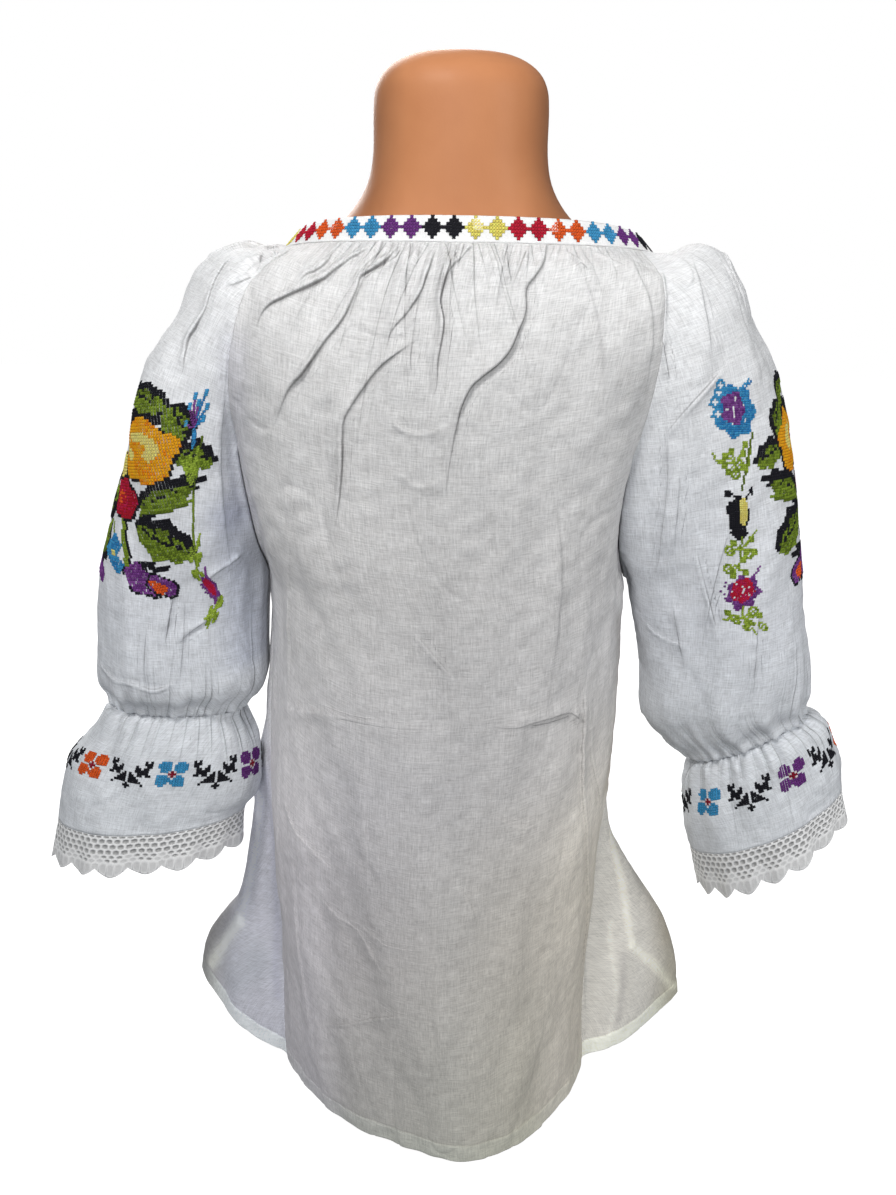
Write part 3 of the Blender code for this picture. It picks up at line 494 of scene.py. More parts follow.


# ---------------------------------------------------------------- creases
# A listed crease: its path in millimetres as x and z, the height of the soft ridge beside it,
# the depth of its groove, and the ridge's half width. A negative width puts the ridge on the
# path's other side. Paths run downwards.
Crease = namedtuple("Crease", "ridge groove width path")
BACK_CREASES = (
    Crease(2.2, 1.4, 6, ((54, 699), (71, 691), (81, 682), (98, 672), (114, 663), (121, 649), (124, 637))),
    Crease(1.4, 0.9, 5, ((75, 698), (82, 688), (92, 681), (100, 669))),
    Crease(2.6, 1.7, 6, ((37, 699), (49, 689), (59, 684), (62, 677), (70, 660), (80, 647), (92, 630),
                         (101, 620), (109, 604), (117, 588))),
    Crease(1.2, 0.9, -4, ((37, 698), (40, 693), (51, 687), (60, 680))),
    Crease(2.0, 1.4, 6, ((16, 698), (21, 684), (25, 674), (33, 663), (41, 654), (45, 644))),
    Crease(2.4, 1.4, 8, ((33, 645), (48, 634), (57, 623), (65, 611), (70, 600), (72, 574), (76, 545),
                         (82, 520))),
    Crease(1.2, 0.6, 6, ((26, 671), (28, 657), (30, 638), (28, 622))),
    Crease(2.2, 1.4, 5, ((2, 698), (7, 692), (10, 682), (13, 671), (11, 658), (14, 638), (15, 623),
                         (21, 608))),
    Crease(1.2, 0.5, 5, ((40, 604), (34, 599), (27, 597), (19, 598), (8, 604))),
    Crease(2.8, 1.7, 9, ((-48, 701), (-46, 693), (-41, 685), (-36, 678), (-36, 666), (-32, 655),
                         (-27, 644), (-20, 636), (-11, 629), (-5, 623), (0, 612), (3, 599), (6, 582),
                         (8, 565), (9, 545))),
    Crease(1.3, 1.0, 4, ((-5, 700), (2, 693), (8, 687), (12, 676), (12, 664))),
    Crease(1.0, 0.9, 4, ((-25, 699), (-25, 692), (-28, 676))),
    Crease(1.0, 0.9, -4, ((-36, 699), (-33, 692), (-28, 680))),
    Crease(1.3, 1.0, 4, ((-61, 699), (-65, 694), (-72, 687))),
    Crease(0.9, 0.8, 4, ((-78, 699), (-86, 695), (-95, 690))),
    Crease(2.0, 0.2, -10, ((-62, 696), (-72, 678), (-78, 659), (-82, 630), (-84, 600))),
    Crease(1.2, 0.3, 8, ((-98, 694), (-108, 672), (-111, 640), (-109, 610))),
    Crease(2.3, 0.5, 9, ((129, 385), (102, 396), (79, 401), (54, 402), (33, 402), (10, 399), (-6, 398))),
    Crease(1.2, 0.8, 7, ((26, 466), (10, 447), (-2, 433))),
    Crease(2.6, 0.6, 8, ((-90, 392), (-79, 402), (-64, 403), (-50, 401), (-34, 400), (-20, 402))),
    Crease(1.3, 0.5, 9, ((99, 238), (84, 230), (67, 222), (44, 186))),
    Crease(1.2, 0.2, 9, ((8, 290), (-14, 261), (-22, 221))),
    Crease(0.7, 0.3, 6, ((36, 572), (28, 566), (18, 566), (8, 572))),
    Crease(1.8, 0.8, -10, ((-86, 430), (-89, 410), (-91, 380), (-93, 342), (-100, 275), (-107, 216),
                           (-114, 141), (-120, 60))),
    Crease(1.0, 0.5, -7, ((-93, 403), (-101, 355), (-111, 310), (-118, 270))),
    Crease(1.4, 0.8, 8, ((94, 122), (69, 139), (41, 157), (20, 162))),
    Crease(1.4, 0.8, 8, ((124, 309), (114, 291), (98, 276), (88, 268))),
    Crease(1.5, 0.3, 14, ((101, 560), (112, 500), (118, 440), (121, 380))),
    Crease(1.2, 0.2, 16, ((-60, 560), (-66, 500), (-64, 440), (-58, 380))),
    Crease(1.2, 0.2, 18, ((50, 500), (56, 420), (60, 330), (58, 240))),
    Crease(1.4, 0.3, 14, ((120, 250), (118, 190), (112, 130), (104, 70))),
    Crease(1.0, 0.4, 8, ((70, 230), (40, 222), (12, 226))),
    Crease(1.0, 0.4, 9, ((-30, 330), (-52, 318), (-70, 322))),
)
FRONT_CREASES = (
    Crease(2.4, 1.4, 7, ((62, 676), (74, 650), (86, 615), (93, 570), (96, 520))),
    Crease(2.2, 1.5, 6, ((44, 664), (52, 640), (60, 600), (61, 560), (55, 520))),
    Crease(2.6, 1.5, 7, ((24, 659), (30, 630), (33, 590), (30, 540), (33, 490))),
    Crease(1.6, 1.2, -5, ((8, 658), (6, 630), (9, 600), (7, 560))),
    Crease(2.2, 1.5, 6, ((-10, 657), (-14, 625), (-12, 580), (-18, 530))),
    Crease(2.5, 1.5, -7, ((-32, 660), (-40, 630), (-48, 590), (-49, 545), (-44, 500))),
    Crease(2.0, 1.3, 6, ((-52, 668), (-64, 640), (-76, 600), (-80, 555))),
    Crease(1.6, 1.0, -6, ((-70, 680), (-84, 650), (-93, 610))),
    Crease(1.8, 0.5, 14, ((70, 400), (80, 320), (86, 240), (90, 150), (92, 60))),
    Crease(1.8, 0.5, -14, ((-60, 400), (-70, 320), (-80, 230), (-88, 140), (-92, 50))),
    Crease(1.6, 0.4, 16, ((10, 380), (14, 300), (8, 210), (12, 120), (10, 40))),
)
SLEEVE_CREASES = {
    "left": (
        Crease(2.2, 1.5, 6, ((142, 694), (147, 687), (150, 674), (154, 662), (160, 653), (166, 645),
                             (169, 632), (174, 614))),
        Crease(1.4, 1.0, 5, ((103, 697), (112, 691), (121, 686), (128, 681))),
        Crease(1.3, 0.9, -5, ((119, 693), (128, 690), (140, 688))),
        Crease(0.9, 0.8, 5, ((125, 681), (132, 677), (141, 674))),
        Crease(2.0, 0.6, 12, ((138, 650), (143, 622), (150, 590), (154, 550), (156, 500), (158, 460))),
        Crease(1.6, 0.6, 8, ((196, 694), (204, 672), (212, 650))),
        Crease(1.4, 0.5, 9, ((186, 470), (190, 440), (196, 410), (200, 390))),
        Crease(1.5, 1.0, 7, ((262, 411), (244, 407), (226, 409))),
        Crease(1.5, 1.0, 7, ((232, 409), (216, 404), (198, 408))),
        Crease(1.0, 0.5, -7, ((214, 452), (218, 430), (222, 400))),
        Crease(1.9, 1.2, 7, ((193, 476), (198, 457), (204, 434))),
        Crease(1.8, 1.2, 6, ((150, 498), (158, 493), (165, 490), (173, 482))),
        Crease(1.5, 1.0, 6, ((168, 457), (179, 450), (196, 436))),
    ),
    "right": (
        Crease(1.6, 1.2, 6, ((-119, 650), (-123, 638), (-127, 624))),
        Crease(1.5, 1.1, -6, ((-160, 634), (-150, 624), (-141, 614), (-131, 598), (-124, 584))),
        Crease(2.0, 0.6, -12, ((-130, 590), (-134, 560), (-136, 520), (-138, 480))),
        Crease(1.3, 0.5, 9, ((-119, 688), (-120, 673), (-121, 656))),
        Crease(1.4, 0.5, 9, ((-139, 694), (-143, 673), (-148, 652), (-152, 632))),
        Crease(1.0, 0.5, -9, ((-165, 700), (-174, 684), (-182, 664))),
        Crease(1.1, 0.9, 5, ((-178, 528), (-175, 500), (-173, 472), (-171, 430))),
        Crease(1.1, 0.9, 5, ((-207, 470), (-209, 441), (-214, 400))),
        Crease(1.2, 0.6, -8, ((-150, 470), (-158, 440), (-166, 410))),
        Crease(1.4, 0.8, 7, ((-140, 452), (-150, 442), (-164, 438))),
        Crease(1.8, 1.1, 7, ((-159, 512), (-168, 487), (-177, 464), (-186, 440))),
        Crease(1.6, 0.6, 10, ((-140, 572), (-143, 536), (-145, 500))),
    ),
}
CREASE_RIDGE = 0.85  # of the ridge and groove stated above, the share that is built
CREASE_GROOVE = 0.60
LAP_EDGE = 0.0010  # half the width of a fold's steep side
TOWARDS = -0.35  # how far a normal may turn away from the side that a crease is on
PATH_MARGIN = 0.02
DRAWN_GROOVE = 1.5  # a groove of this depth has its painted dark line at full strength


def smooth_path(path, step=0.002):
    """A path in millimetres as a smooth, evenly spaced line of x and z in metres."""
    line = np.array(path, dtype=float) * MM
    places = np.linspace(0, len(line) - 1, 40 * len(line))
    fine = curve_at([tuple(p) for p in line], places)
    run = np.concatenate(([0.0], np.cumsum(np.linalg.norm(np.diff(fine, axis=0), axis=1))))
    count = max(int(run[-1] / step), 4)
    wanted = np.linspace(0.0, run[-1], count + 1)
    return np.stack([np.interp(wanted, run, fine[:, axis]) for axis in range(2)], axis=1)


def inside(points, line, margin):
    """Whether each point lies within a margin of a line's bounds."""
    low, high = line.min(axis=0) - margin, line.max(axis=0) + margin
    return np.all((points > low) & (points < high), axis=1)


def crease_height(piece, creases, facing, rng):
    """Adds the listed creases to the side of a piece that faces +Y or -Y."""
    flat = piece.grid.reshape(-1, 3)
    normals = piece.normals.reshape(-1, 3)
    towards = normals[:, 1] * facing > TOWARDS
    total = np.zeros(len(flat))
    for crease in creases:
        path = smooth_path(crease.path)
        candidates = np.nonzero(towards & inside(flat[:, [0, 2]], path, PATH_MARGIN))[0]
        if not len(candidates):
            continue
        near = flat[candidates]
        gap = ((near[None, :, [0, 2]] - path[:, None, :]) ** 2).sum(axis=2)
        gap = gap - 1e-5 * facing * near[None, :, 1]
        spots = candidates[np.argmin(gap, axis=1)]
        line = flat[spots].copy()
        line[:, 0], line[:, 2] = path[:, 0], path[:, 1]
        for _ in range(3):  # evens out its depth along Y
            line[1:-1, 1] = (line[:-2, 1] + line[1:-1, 1] * 2 + line[2:, 1]) / 4
        along = unit(np.gradient(line, axis=0))
        aside = unit(np.cross(along, normals[spots]))
        width = abs(crease.width) * MM
        box = np.nonzero(towards & inside(flat, line, 2.6 * width + 0.005))[0]
        delta = flat[box][:, None, :] - line[None, :, :]
        nearest = np.argmin((delta**2).sum(axis=2), axis=1)
        delta = delta[np.arange(len(box)), nearest]
        side = (delta * aside[nearest]).sum(axis=1) * (1.0 if crease.width > 0 else -1.0)
        past = (delta * along[nearest]).sum(axis=1)
        t = nearest / (len(line) - 1)
        # its height wavers, swells in quickly and dies out slowly, and it widens as it runs
        wave = 1.0 + 0.22 * np.sin(9.0 * t + rng.uniform(0, 6.28))
        wave += 0.12 * np.sin(23.0 * t + rng.uniform(0, 6.28))
        ends = smooth(t / 0.16 + 0.25) * smooth((1.0 - t) / 0.4)
        ends = ends * wave * np.exp(-((past / (0.8 * width)) ** 2))
        narrow = width * np.clip(0.40 + 0.5 * t, 0.0, 0.8)
        # across it, a steep lap between the ridge on one side and the hollow on the other
        step = smooth((side + LAP_EDGE) / (2.0 * LAP_EDGE))
        ridge = np.exp(-((np.maximum(side - LAP_EDGE, 0.0) / (1.15 * narrow)) ** 2))
        hollow = np.exp(np.minimum(side + LAP_EDGE, 0.0) / (0.75 * narrow))
        high = CREASE_RIDGE * crease.ridge * MM
        low = CREASE_GROOVE * crease.groove * MM
        total[box] += ends * (step * ridge * high - (1.0 - step) * hollow * low)
        # the fold's line, along which the material paints a dark line of shade
        lap, drawn = np.full(len(flat), FAR_SIDE), np.zeros(len(flat))
        lap[box], drawn[box] = side, ends * min(crease.groove / DRAWN_GROOVE, 1.0)
        piece.draw("fold", lap.reshape(piece.height.shape), drawn.reshape(piece.height.shape))
    return total.reshape(piece.grid.shape[:2])


def uneven(points, rng, length, waves=22):
    """A smooth unevenness of about unit size with features of about the given length."""
    heading = unit(rng.normal(size=(waves, 3)))
    pace = 2.0 * math.pi / length * rng.uniform(0.55, 1.45, waves)
    start = rng.uniform(0.0, 2.0 * math.pi, waves)
    flat = points.reshape(-1, 3)
    total = np.zeros(len(flat))
    for k in range(waves):
        total += np.sin(flat @ heading[k] * pace[k] + start[k])
    return (total * math.sqrt(2.0 / waves)).reshape(points.shape[:-1])


# Gathers under the neckband: how many, where along it they are strongest and how widely, how
# far they lean along the row as they fall, and how much further past FAN_FROM.
Gather = namedtuple("Gather", "count centre spread lean fan")
GATHERS = {
    "back": Gather(64, 0.60, 0.27, -0.10, 0.85),
    "front": Gather(60, 0.5, 0.4, 0.0, 0.0),
    "sleeve_left": Gather(30, 0.3, 0.4, 0.0, 0.0),
    "sleeve_right": Gather(30, 0.4, 0.4, 0.0, 0.0),
}
FAN_FROM = 0.45
GATHER_END = 0.13  # no gather runs further down than this
GATHER_LONG = 0.013
GATHER_WIDE = 0.0009, 0.0017
GATHER_LEAN = 0.16
GATHER_SPREAD = 0.022  # the fall that doubles a gather's width
# Pleats at the ring above the cuff: how many, how far they reach, how deep and how broad.
Pleats = namedtuple("Pleats", "count reach depth broad")
ARM_PLEATS, ARM_SOFT = Pleats(34, 0.060, 2.9 * MM, 1.0), Pleats(13, 0.075, 1.9 * MM, 1.8)
RUFFLE_PLEATS, RUFFLE_SOFT = Pleats(32, 0.050, 2.9 * MM, 1.0), Pleats(15, 0.050, 2.0 * MM, 1.8)
PLEAT_WIDE = 0.0016, 0.0032
PLEAT_LEAN = 0.05
PLEAT_SPREAD = 0.02


def band_gathers(piece, rng, kind):
    """Small gathers that run down from the neckband, as uneven ridges and grooves."""
    total = np.zeros(piece.height.shape)
    rows = int(np.searchsorted(piece.fall.mean(axis=1), GATHER_END))
    fall = piece.fall[:rows]
    places = np.arange(kind.count) + rng.uniform(-0.42, 0.42, kind.count)
    for place in (places + 0.5) / kind.count:
        strong = math.exp(-(((place - kind.centre) / kind.spread) ** 2))
        length = (rng.gamma(2.0, GATHER_LONG) + 0.010) * (0.6 + 0.8 * strong)
        depth = (0.50 + 1.0 * rng.random() ** 2) * (0.55 + 0.9 * strong) * MM
        wide = rng.uniform(*GATHER_WIDE) * (0.8 + 0.4 * strong)
        lean = rng.normal(0.0, GATHER_LEAN)
        lean += kind.lean + kind.fan * max(place - FAN_FROM, 0.0)
        gap = (piece.share[:rows] - place) * piece.width[:rows, None] - lean * fall
        wide = wide * (1.0 + fall / GATHER_SPREAD)
        rise = smooth(fall / 0.0022)
        dying = np.exp(-((fall / length) ** 1.4))
        shape = bell(gap / wide) - 0.8 * bell((gap + 1.4 * wide) / (0.6 * wide))
        total[:rows] += depth * rise * dying * shape
        # the pleat's line, along which the material paints shade
        strength = np.clip(0.75 * (depth / MM) * rise * dying, 0.0, 1.0)
        whole = np.zeros(piece.height.shape)
        whole[:rows] = strength
        aside = np.full(piece.height.shape, FAR_SIDE)
        aside[:rows] = gap + 1.2 * wide
        piece.draw("pleat", aside, whole)
    return total


def ring_gathers(piece, rng, from_end, kind):
    """Pleats that run away from the gathered ring above the cuff, round a closed piece.

    The broad ones are soft, without a drawn line.
    """
    fall = piece.to_end if from_end else piece.fall
    total = np.zeros(piece.height.shape)
    for k in range(kind.count):
        place = (k + rng.uniform(-0.35, 0.35)) / kind.count
        lean = rng.normal(0.0, PLEAT_LEAN)
        length = kind.reach * rng.uniform(0.35, 1.15)
        depth = rng.uniform(0.35, 1.0) * kind.depth
        wide = kind.broad * rng.uniform(*PLEAT_WIDE) * (1.0 + fall / PLEAT_SPREAD)
        gap = (piece.share - place + 0.5) % 1.0 - 0.5
        gap = gap * piece.width[:, None] - lean * fall
        dying = np.exp(-((fall / length) ** 1.6))
        shape = bell((gap + 1.2 * wide) / (1.3 * wide)) - 1.1 * bell(gap / (0.7 * wide))
        total += depth * dying * shape
        # the fine pleats get a line of painted shade, the broad ones none
        if kind.broad == 1.0:
            piece.draw("pleat", gap, np.clip(0.55 * depth / MM * dying, 0.0, 1.0))
    return total


PUCKERS = 46
PUCKER_RISE = 0.95 * MM
PUCKER_FALL = 0.0055


def ring_puckers(gap, u):
    """The tight little ridges of the gathered ring itself, by the gap to it and the way round."""
    swing = np.sin(2 * math.pi * PUCKERS * u + 1.5 * np.sin(2 * math.pi * 7 * u))
    swing *= 0.75 + 0.25 * np.sin(2 * math.pi * 11 * u + 2.0)
    return PUCKER_RISE * swing * bell(gap / PUCKER_FALL)


# ---------------------------------------------------------------- the form
FORM_COLUMNS = 112
SHOULDER_ROW = 12  # of the form's table, where closer rows begin


def build_form_mesh():
    """Points of the torso form, smooth through its table, and its faces by their count of corners."""
    places = np.concatenate((
        np.linspace(0, 1, 4)[:-1],
        np.linspace(1, SHOULDER_ROW, 34)[:-1],
        np.linspace(SHOULDER_ROW, len(FORM) - 1, 60),
    ))
    count = FORM_COLUMNS
    turn = 2.0 * math.pi * np.arange(count) / count
    sides = (np.cos(turn), np.sin(turn))
    round_x, round_y = (np.sign(u) * np.abs(u) ** (2.0 / FORM_POWER) for u in sides)
    points, faces = [], []
    for z, half, back, front in curve_at(FORM, places):
        x = FORM_X + half * round_x
        y = (back + front) / 2.0 + (back - front) / 2.0 * round_y
        points += [(a, b, z) for a, b in zip(x, y)]
    last = (len(places) - 1) * count
    for low in range(0, last, count):
        for i in range(count):
            j = (i + 1) % count
            faces.append((low + i, low + j, low + count + j, low + count + i))
    points.append((FORM_X, (FORM[-1].back + FORM[-1].front) / 2.0, FORM_TOP))
    cap = [(last + i, last + (i + 1) % count, len(points) - 1) for i in range(count)]
    return points, [faces, cap, [tuple(range(count - 1, -1, -1))]]


# ---------------------------------------------------------------- Blender helpers
def mesh_object(name, points, faces, look, uvs=None, flat_from=None, **paints):
    """A mesh object from arrays.

    faces is a list of blocks, each of faces with one count of corners, and uvs holds a block
    beside each. Faces from flat_from on are shaded flat. paints are colours at the points.
    """
    mesh = bpy.data.meshes.new(name)
    corners = np.concatenate([np.asarray(block, dtype=np.int32).ravel() for block in faces])
    totals = np.concatenate(
        [np.full(len(block), np.asarray(block).shape[1], dtype=np.int32) for block in faces]
    )
    starts = np.concatenate(([0], np.cumsum(totals)[:-1])).astype(np.int32)
    points = np.asarray(points, dtype=np.float32)
    mesh.vertices.add(len(points))
    mesh.vertices.foreach_set("co", points.ravel())
    mesh.loops.add(len(corners))
    mesh.loops.foreach_set("vertex_index", corners)
    mesh.polygons.add(len(totals))
    mesh.polygons.foreach_set("loop_start", starts)
    flags = np.ones(len(totals), dtype=bool)
    if flat_from is not None:
        flags[flat_from:] = False
    mesh.polygons.foreach_set("use_smooth", flags)
    mesh.update(calc_edges=True)
    if uvs is not None:
        layer = mesh.uv_layers.new(name="metres")
        flat = np.concatenate([np.asarray(block, dtype=np.float32).ravel() for block in uvs])
        layer.data.foreach_set("uv", flat)
    for label, values in paints.items():
        layer = mesh.attributes.new(label, "FLOAT_COLOR", "POINT")
        four = np.concatenate((values, np.ones((len(values), 1))), axis=1).astype(np.float32)
        layer.data.foreach_set("color", four.ravel())
    mesh.materials.append(look)
    made = bpy.data.objects.new(name, mesh)
    bpy.context.scene.collection.objects.link(made)
    return made


def lowest_near(height, reach, wrap):
    """The lowest height among near grid points."""
    out = height.copy()
    for axis in (0, 1):
        best = out.copy()
        for shift in range(1, reach + 1):
            for sign in (-1, 1):
                moved = np.roll(out, sign * shift, axis=axis)
                if not (axis == 1 and wrap):
                    edge = slice(0, shift) if sign > 0 else slice(-shift, None)
                    where = (edge, slice(None)) if axis == 0 else (slice(None), edge)
                    moved[where] = out[where]
                best = np.minimum(best, moved)
        out = best
    return out


def own_points(piece, step):
    """Which points of every step-th row and column are its own: a ring's last is its first."""
    own = np.ones(piece.height[::step, ::step].shape, dtype=bool)
    if piece.closed_from is not None:
        own[piece.closed_from // step :, -1] = False
    return own


def shell(piece, look):
    """The closed thin shell of a cloth piece: fine outside, half as fine inside."""
    low = lowest_near(piece.height, 2, piece.closed_from == 0)
    inner = (piece.grid + piece.normals * (low - SHELL)[..., None])[::2, ::2]
    blocks, uvs, index_sets, points = [], [], [], []
    count = 0
    pair = np.stack((piece.across - piece.width[:, None] / 2.0, -piece.fall), axis=-1)
    for step, grid in ((1, piece.outer), (2, inner)):
        own = own_points(piece, step)
        index = np.full(own.shape, -1)
        index[own] = count + np.arange(own.sum())
        index[~own] = index[:, 0][~own[:, -1]]
        count += int(own.sum())
        points.append(grid[own])
        index_sets.append(index)
        turn = 1 if step == 1 else -1
        blocks.append(np.stack([part.ravel() for part in cell_corners(index)[::turn]], axis=1))
        around = cell_corners(pair[::step, ::step])[::turn]
        uvs.append(np.stack([part.reshape(-1, 2) for part in around], axis=1))
    fine, coarse = index_sets
    smooth_faces = len(blocks[0]) + len(blocks[1])

    def rim(outer_line, inner_line, line_uv, flip):
        """Five-cornered faces along an edge: two steps outside to one inside."""
        o0, o1, o2 = outer_line[:-2:2], outer_line[1:-1:2], outer_line[2::2]
        i0, i1 = inner_line[:-1], inner_line[1:]
        u0, u1, u2 = line_uv[:-2:2], line_uv[1:-1:2], line_uv[2::2]
        five = (o2, o1, o0, i0, i1) if flip else (o0, o1, o2, i1, i0)
        five_uv = (u2, u1, u0, u0, u2) if flip else (u0, u1, u2, u2, u0)
        blocks.append(np.stack(five, axis=1))
        uvs.append(np.stack(five_uv, axis=1))

    rim(fine[0], coarse[0], pair[0], True)
    rim(fine[-1], coarse[-1], pair[-1], False)
    if piece.closed_from != 0:
        end = piece.rows if piece.closed_from is None else piece.closed_from + 1
        half = (end + 1) // 2
        rim(fine[:end, 0], coarse[:half, 0], pair[:end, 0], False)
        rim(fine[:end, -1], coarse[:half, -1], pair[:end, -1], True)
    paints = {"tint": piece.tint}
    for kind, (sides, strengths) in piece.lines.items():
        paints[kind + "_side"] = sides / MM
        paints[kind + "_strength"] = strengths
    painted = {}
    for label, values in paints.items():
        outside = values[own_points(piece, 1)]
        within = values[::2, ::2][own_points(piece, 2)]
        if label != "tint":  # painted fold and pleat lines are drawn on the outside only
            within = within * 0.0
        painted[label] = np.concatenate((outside, within))
    return mesh_object(
        piece.name + "_cloth",
        np.concatenate(points),
        blocks,
        look,
        uvs=uvs,
        flat_from=smooth_faces,
        **painted,
    )


class Tree:
    """A material's node tree, written shortly."""

    def __init__(self, name):
        self.material = bpy.data.materials.new(name)
        self.material.use_nodes = True
        self.tree = self.material.node_tree
        self.tree.nodes.clear()

    def node(self, kind, links=(), **values):
        made = self.tree.nodes.new("ShaderNode" + kind)
        for key, value in values.items():
            setattr(made, key, value)
        for name, value in links:
            target = made.inputs[name]
            if isinstance(value, bpy.types.NodeSocket):
                self.tree.links.new(value, target)
            else:
                target.default_value = value
        return made

    def math(self, operation, a, b=0.0):
        return self.node("Math", ((0, a), (1, b)), operation=operation).outputs[0]

    def noise(self, vector, scale, detail=2.0, roughness=0.55, stretch=(1.0, 1.0, 1.0)):
        moved = self.node("Mapping", (("Vector", vector), ("Scale", stretch)))
        made = self.node(
            "TexNoise",
            (
                ("Vector", moved.outputs["Vector"]),
                ("Scale", scale),
                ("Detail", detail),
                ("Roughness", roughness),
            ),
        )
        return made.outputs["Fac"]

    def ramp(self, value, *stops):
        made = self.node("ValToRGB", (("Fac", value),))
        marks = made.color_ramp.elements
        while len(marks) < len(stops):
            marks.new(0.5)
        for mark, (place, colour) in zip(marks, stops):
            mark.position = place
            mark.color = (*colour, 1.0) if len(colour) == 3 else colour
        return made.outputs["Color"]

    def mix(self, kind, factor, a, b):
        made = self.tree.nodes.new("ShaderNodeMix")
        made.data_type = "RGBA"
        made.blend_type = kind
        for place, value in ((0, factor), (6, a), (7, b)):
            if isinstance(value, bpy.types.NodeSocket):
                self.tree.links.new(value, made.inputs[place])
            elif place == 0:
                made.inputs[place].default_value = value
            else:
                made.inputs[place].default_value = (*value, 1.0)
        return made.outputs[2]

    def times(self, colour, *others):
        """Colours multiplied one after the other."""
        for other in others:
            colour = self.mix("MULTIPLY", 1.0, colour, other)
        return colour

    def place(self):
        return self.node("TexCoord").outputs["Object"]

    def attribute(self, name, output="Vector"):
        return self.node("Attribute", attribute_name=name).outputs[output]

    def vector(self, operation, a, b=(0.0, 0.0, 0.0)):
        made = self.node("VectorMath", ((0, a), (1, b)), operation=operation)
        return made.outputs["Value" if operation == "DOT_PRODUCT" else "Vector"]

    def soft_step(self, vector, start, end):
        """0 at start and before it, 1 at end, for each of a vector's three numbers."""
        made = self.node("MapRange", data_type="FLOAT_VECTOR", interpolation_type="SMOOTHSTEP")
        self.tree.links.new(vector, made.inputs["Vector"])
        ends = [x for x in made.inputs if x.type == "VECTOR" and x.name != "Vector"]
        for socket, value in zip(ends, (start, end, 0.0, 1.0)):
            socket.default_value = (value, value, value)
        return made.outputs["Vector"]

    def lap(self, kind, edge, reach):
        """A fold's painted dark line, the painted shade on its low side and its lapped edge's height.

        Distances are in millimetres, and each of the three numbers is a line of its own.
        """
        side = self.attribute(kind + "_side")
        strength = self.attribute(kind + "_strength")
        away = self.vector("ABSOLUTE", side)
        line = self.vector("DOT_PRODUCT", self.soft_step(away, edge, 0.12), strength)
        low = self.soft_step(side, -reach, -0.1), self.soft_step(side, 0.35, -0.1)
        shade = self.vector("DOT_PRODUCT", self.vector("MULTIPLY", *low), strength)
        high = self.soft_step(side, -0.55, 0.55), self.soft_step(side, reach, 0.7)
        return line, shade, self.vector("DOT_PRODUCT", self.vector("MULTIPLY", *high), strength)

    def bump(self, height, strength, distance, normal=None):
        made = self.node(
            "Bump", (("Height", height), ("Strength", strength), ("Distance", distance))
        )
        if normal is not None:
            self.tree.links.new(normal, made.inputs["Normal"])
        return made.outputs["Normal"]

    def finish(self, *values):
        shader = self.node("BsdfPrincipled", values)
        out = self.node("OutputMaterial")
        self.tree.links.new(shader.outputs[0], out.inputs["Surface"])
        return self.material


def grey(value):
    """One level for red, green and blue."""
    return (value, value, value)


CLOTH_WHITE = (0.86, 0.862, 0.865)


def cloth_look():
    """Thin slubby plain-weave cotton: uneven threads both ways, in UV metres, with painted shade along
    its folds and pleats, and the painted light and shade that its tint carries.
    """
    look = Tree("slubby_white_cotton")
    uv = look.node("UVMap", uv_map="metres").outputs["UV"]
    warp = look.noise(uv, 1.0, 2.0, 0.6, (1500.0, 130.0, 1.0))
    weft = look.noise(uv, 1.0, 2.0, 0.6, (130.0, 1500.0, 1.0))
    long_warp = look.noise(uv, 1.0, 1.0, 0.5, (900.0, 26.0, 1.0))
    long_weft = look.noise(uv, 1.0, 1.0, 0.5, (30.0, 900.0, 1.0))
    cloud = look.noise(uv, 110.0, 5.0, 0.72)
    weave = look.math("MULTIPLY", look.math("ADD", warp, weft), 0.5)
    slubs = look.math("MULTIPLY", look.math("ADD", long_warp, long_weft), 0.5)
    streaks = look.ramp(weave, (0.38, grey(0.78)), (0.50, grey(0.94)), (0.60, grey(1.05)))
    slubs = look.ramp(slubs, (0.38, grey(0.90)), (0.50, grey(0.98)), (0.64, grey(1.05)))
    patches = look.ramp(cloud, (0.36, (0.935, 0.93, 0.925)), (0.64, grey(1.02)))
    # painted shade: a dark line along each fold and pleat, and a softer shade on the low side beside it
    line, shade, lap = look.lap("fold", 0.75, 4.6)
    pleat_line, pleat_shade, pleat_lap = look.lap("pleat", 0.60, 2.4)
    dark = look.math("MULTIPLY", line, 0.30)
    for part, share in ((shade, 0.13), (pleat_line, 0.20), (pleat_shade, 0.12)):
        dark = look.math("ADD", dark, look.math("MULTIPLY", part, share))
    folded = look.ramp(dark, (0.0, grey(1.0)), (1.0, (0.04, 0.03, 0.03)))
    tint = look.attribute("tint", "Color")
    colour = look.times(streaks, slubs, patches, tint, folded, CLOTH_WHITE)
    normal = look.bump(weave, 0.7, 0.0005)
    normal = look.bump(cloud, 0.32, 0.0012, normal)
    normal = look.bump(lap, 1.0, 0.0011, normal)
    normal = look.bump(pleat_lap, 1.0, 0.0006, normal)
    return look.finish(
        ("Base Color", colour),
        ("Roughness", 0.90),
        ("Specular IOR Level", 0.15),
        ("Sheen Weight", 0.06),
        ("Sheen Roughness", 0.5),
        ("Normal", normal),
    )


def band_look():
    """Closer, thicker cotton for the neckband."""
    look = Tree("band_cotton")
    where = look.place()
    fine = look.noise(where, 1300.0, 2.0)
    cloud = look.noise(where, 90.0, 3.0)
    white = look.ramp(fine, (0.35, grey(0.77)), (0.6, grey(0.86)))
    colour = look.times(white, look.ramp(cloud, (0.35, grey(0.95)), (0.6, grey(1.0))))
    return look.finish(
        ("Base Color", colour),
        ("Roughness", 0.85),
        ("Specular IOR Level", 0.25),
        ("Sheen Weight", 0.15),
        ("Normal", look.bump(fine, 0.5, 0.0004)),
    )


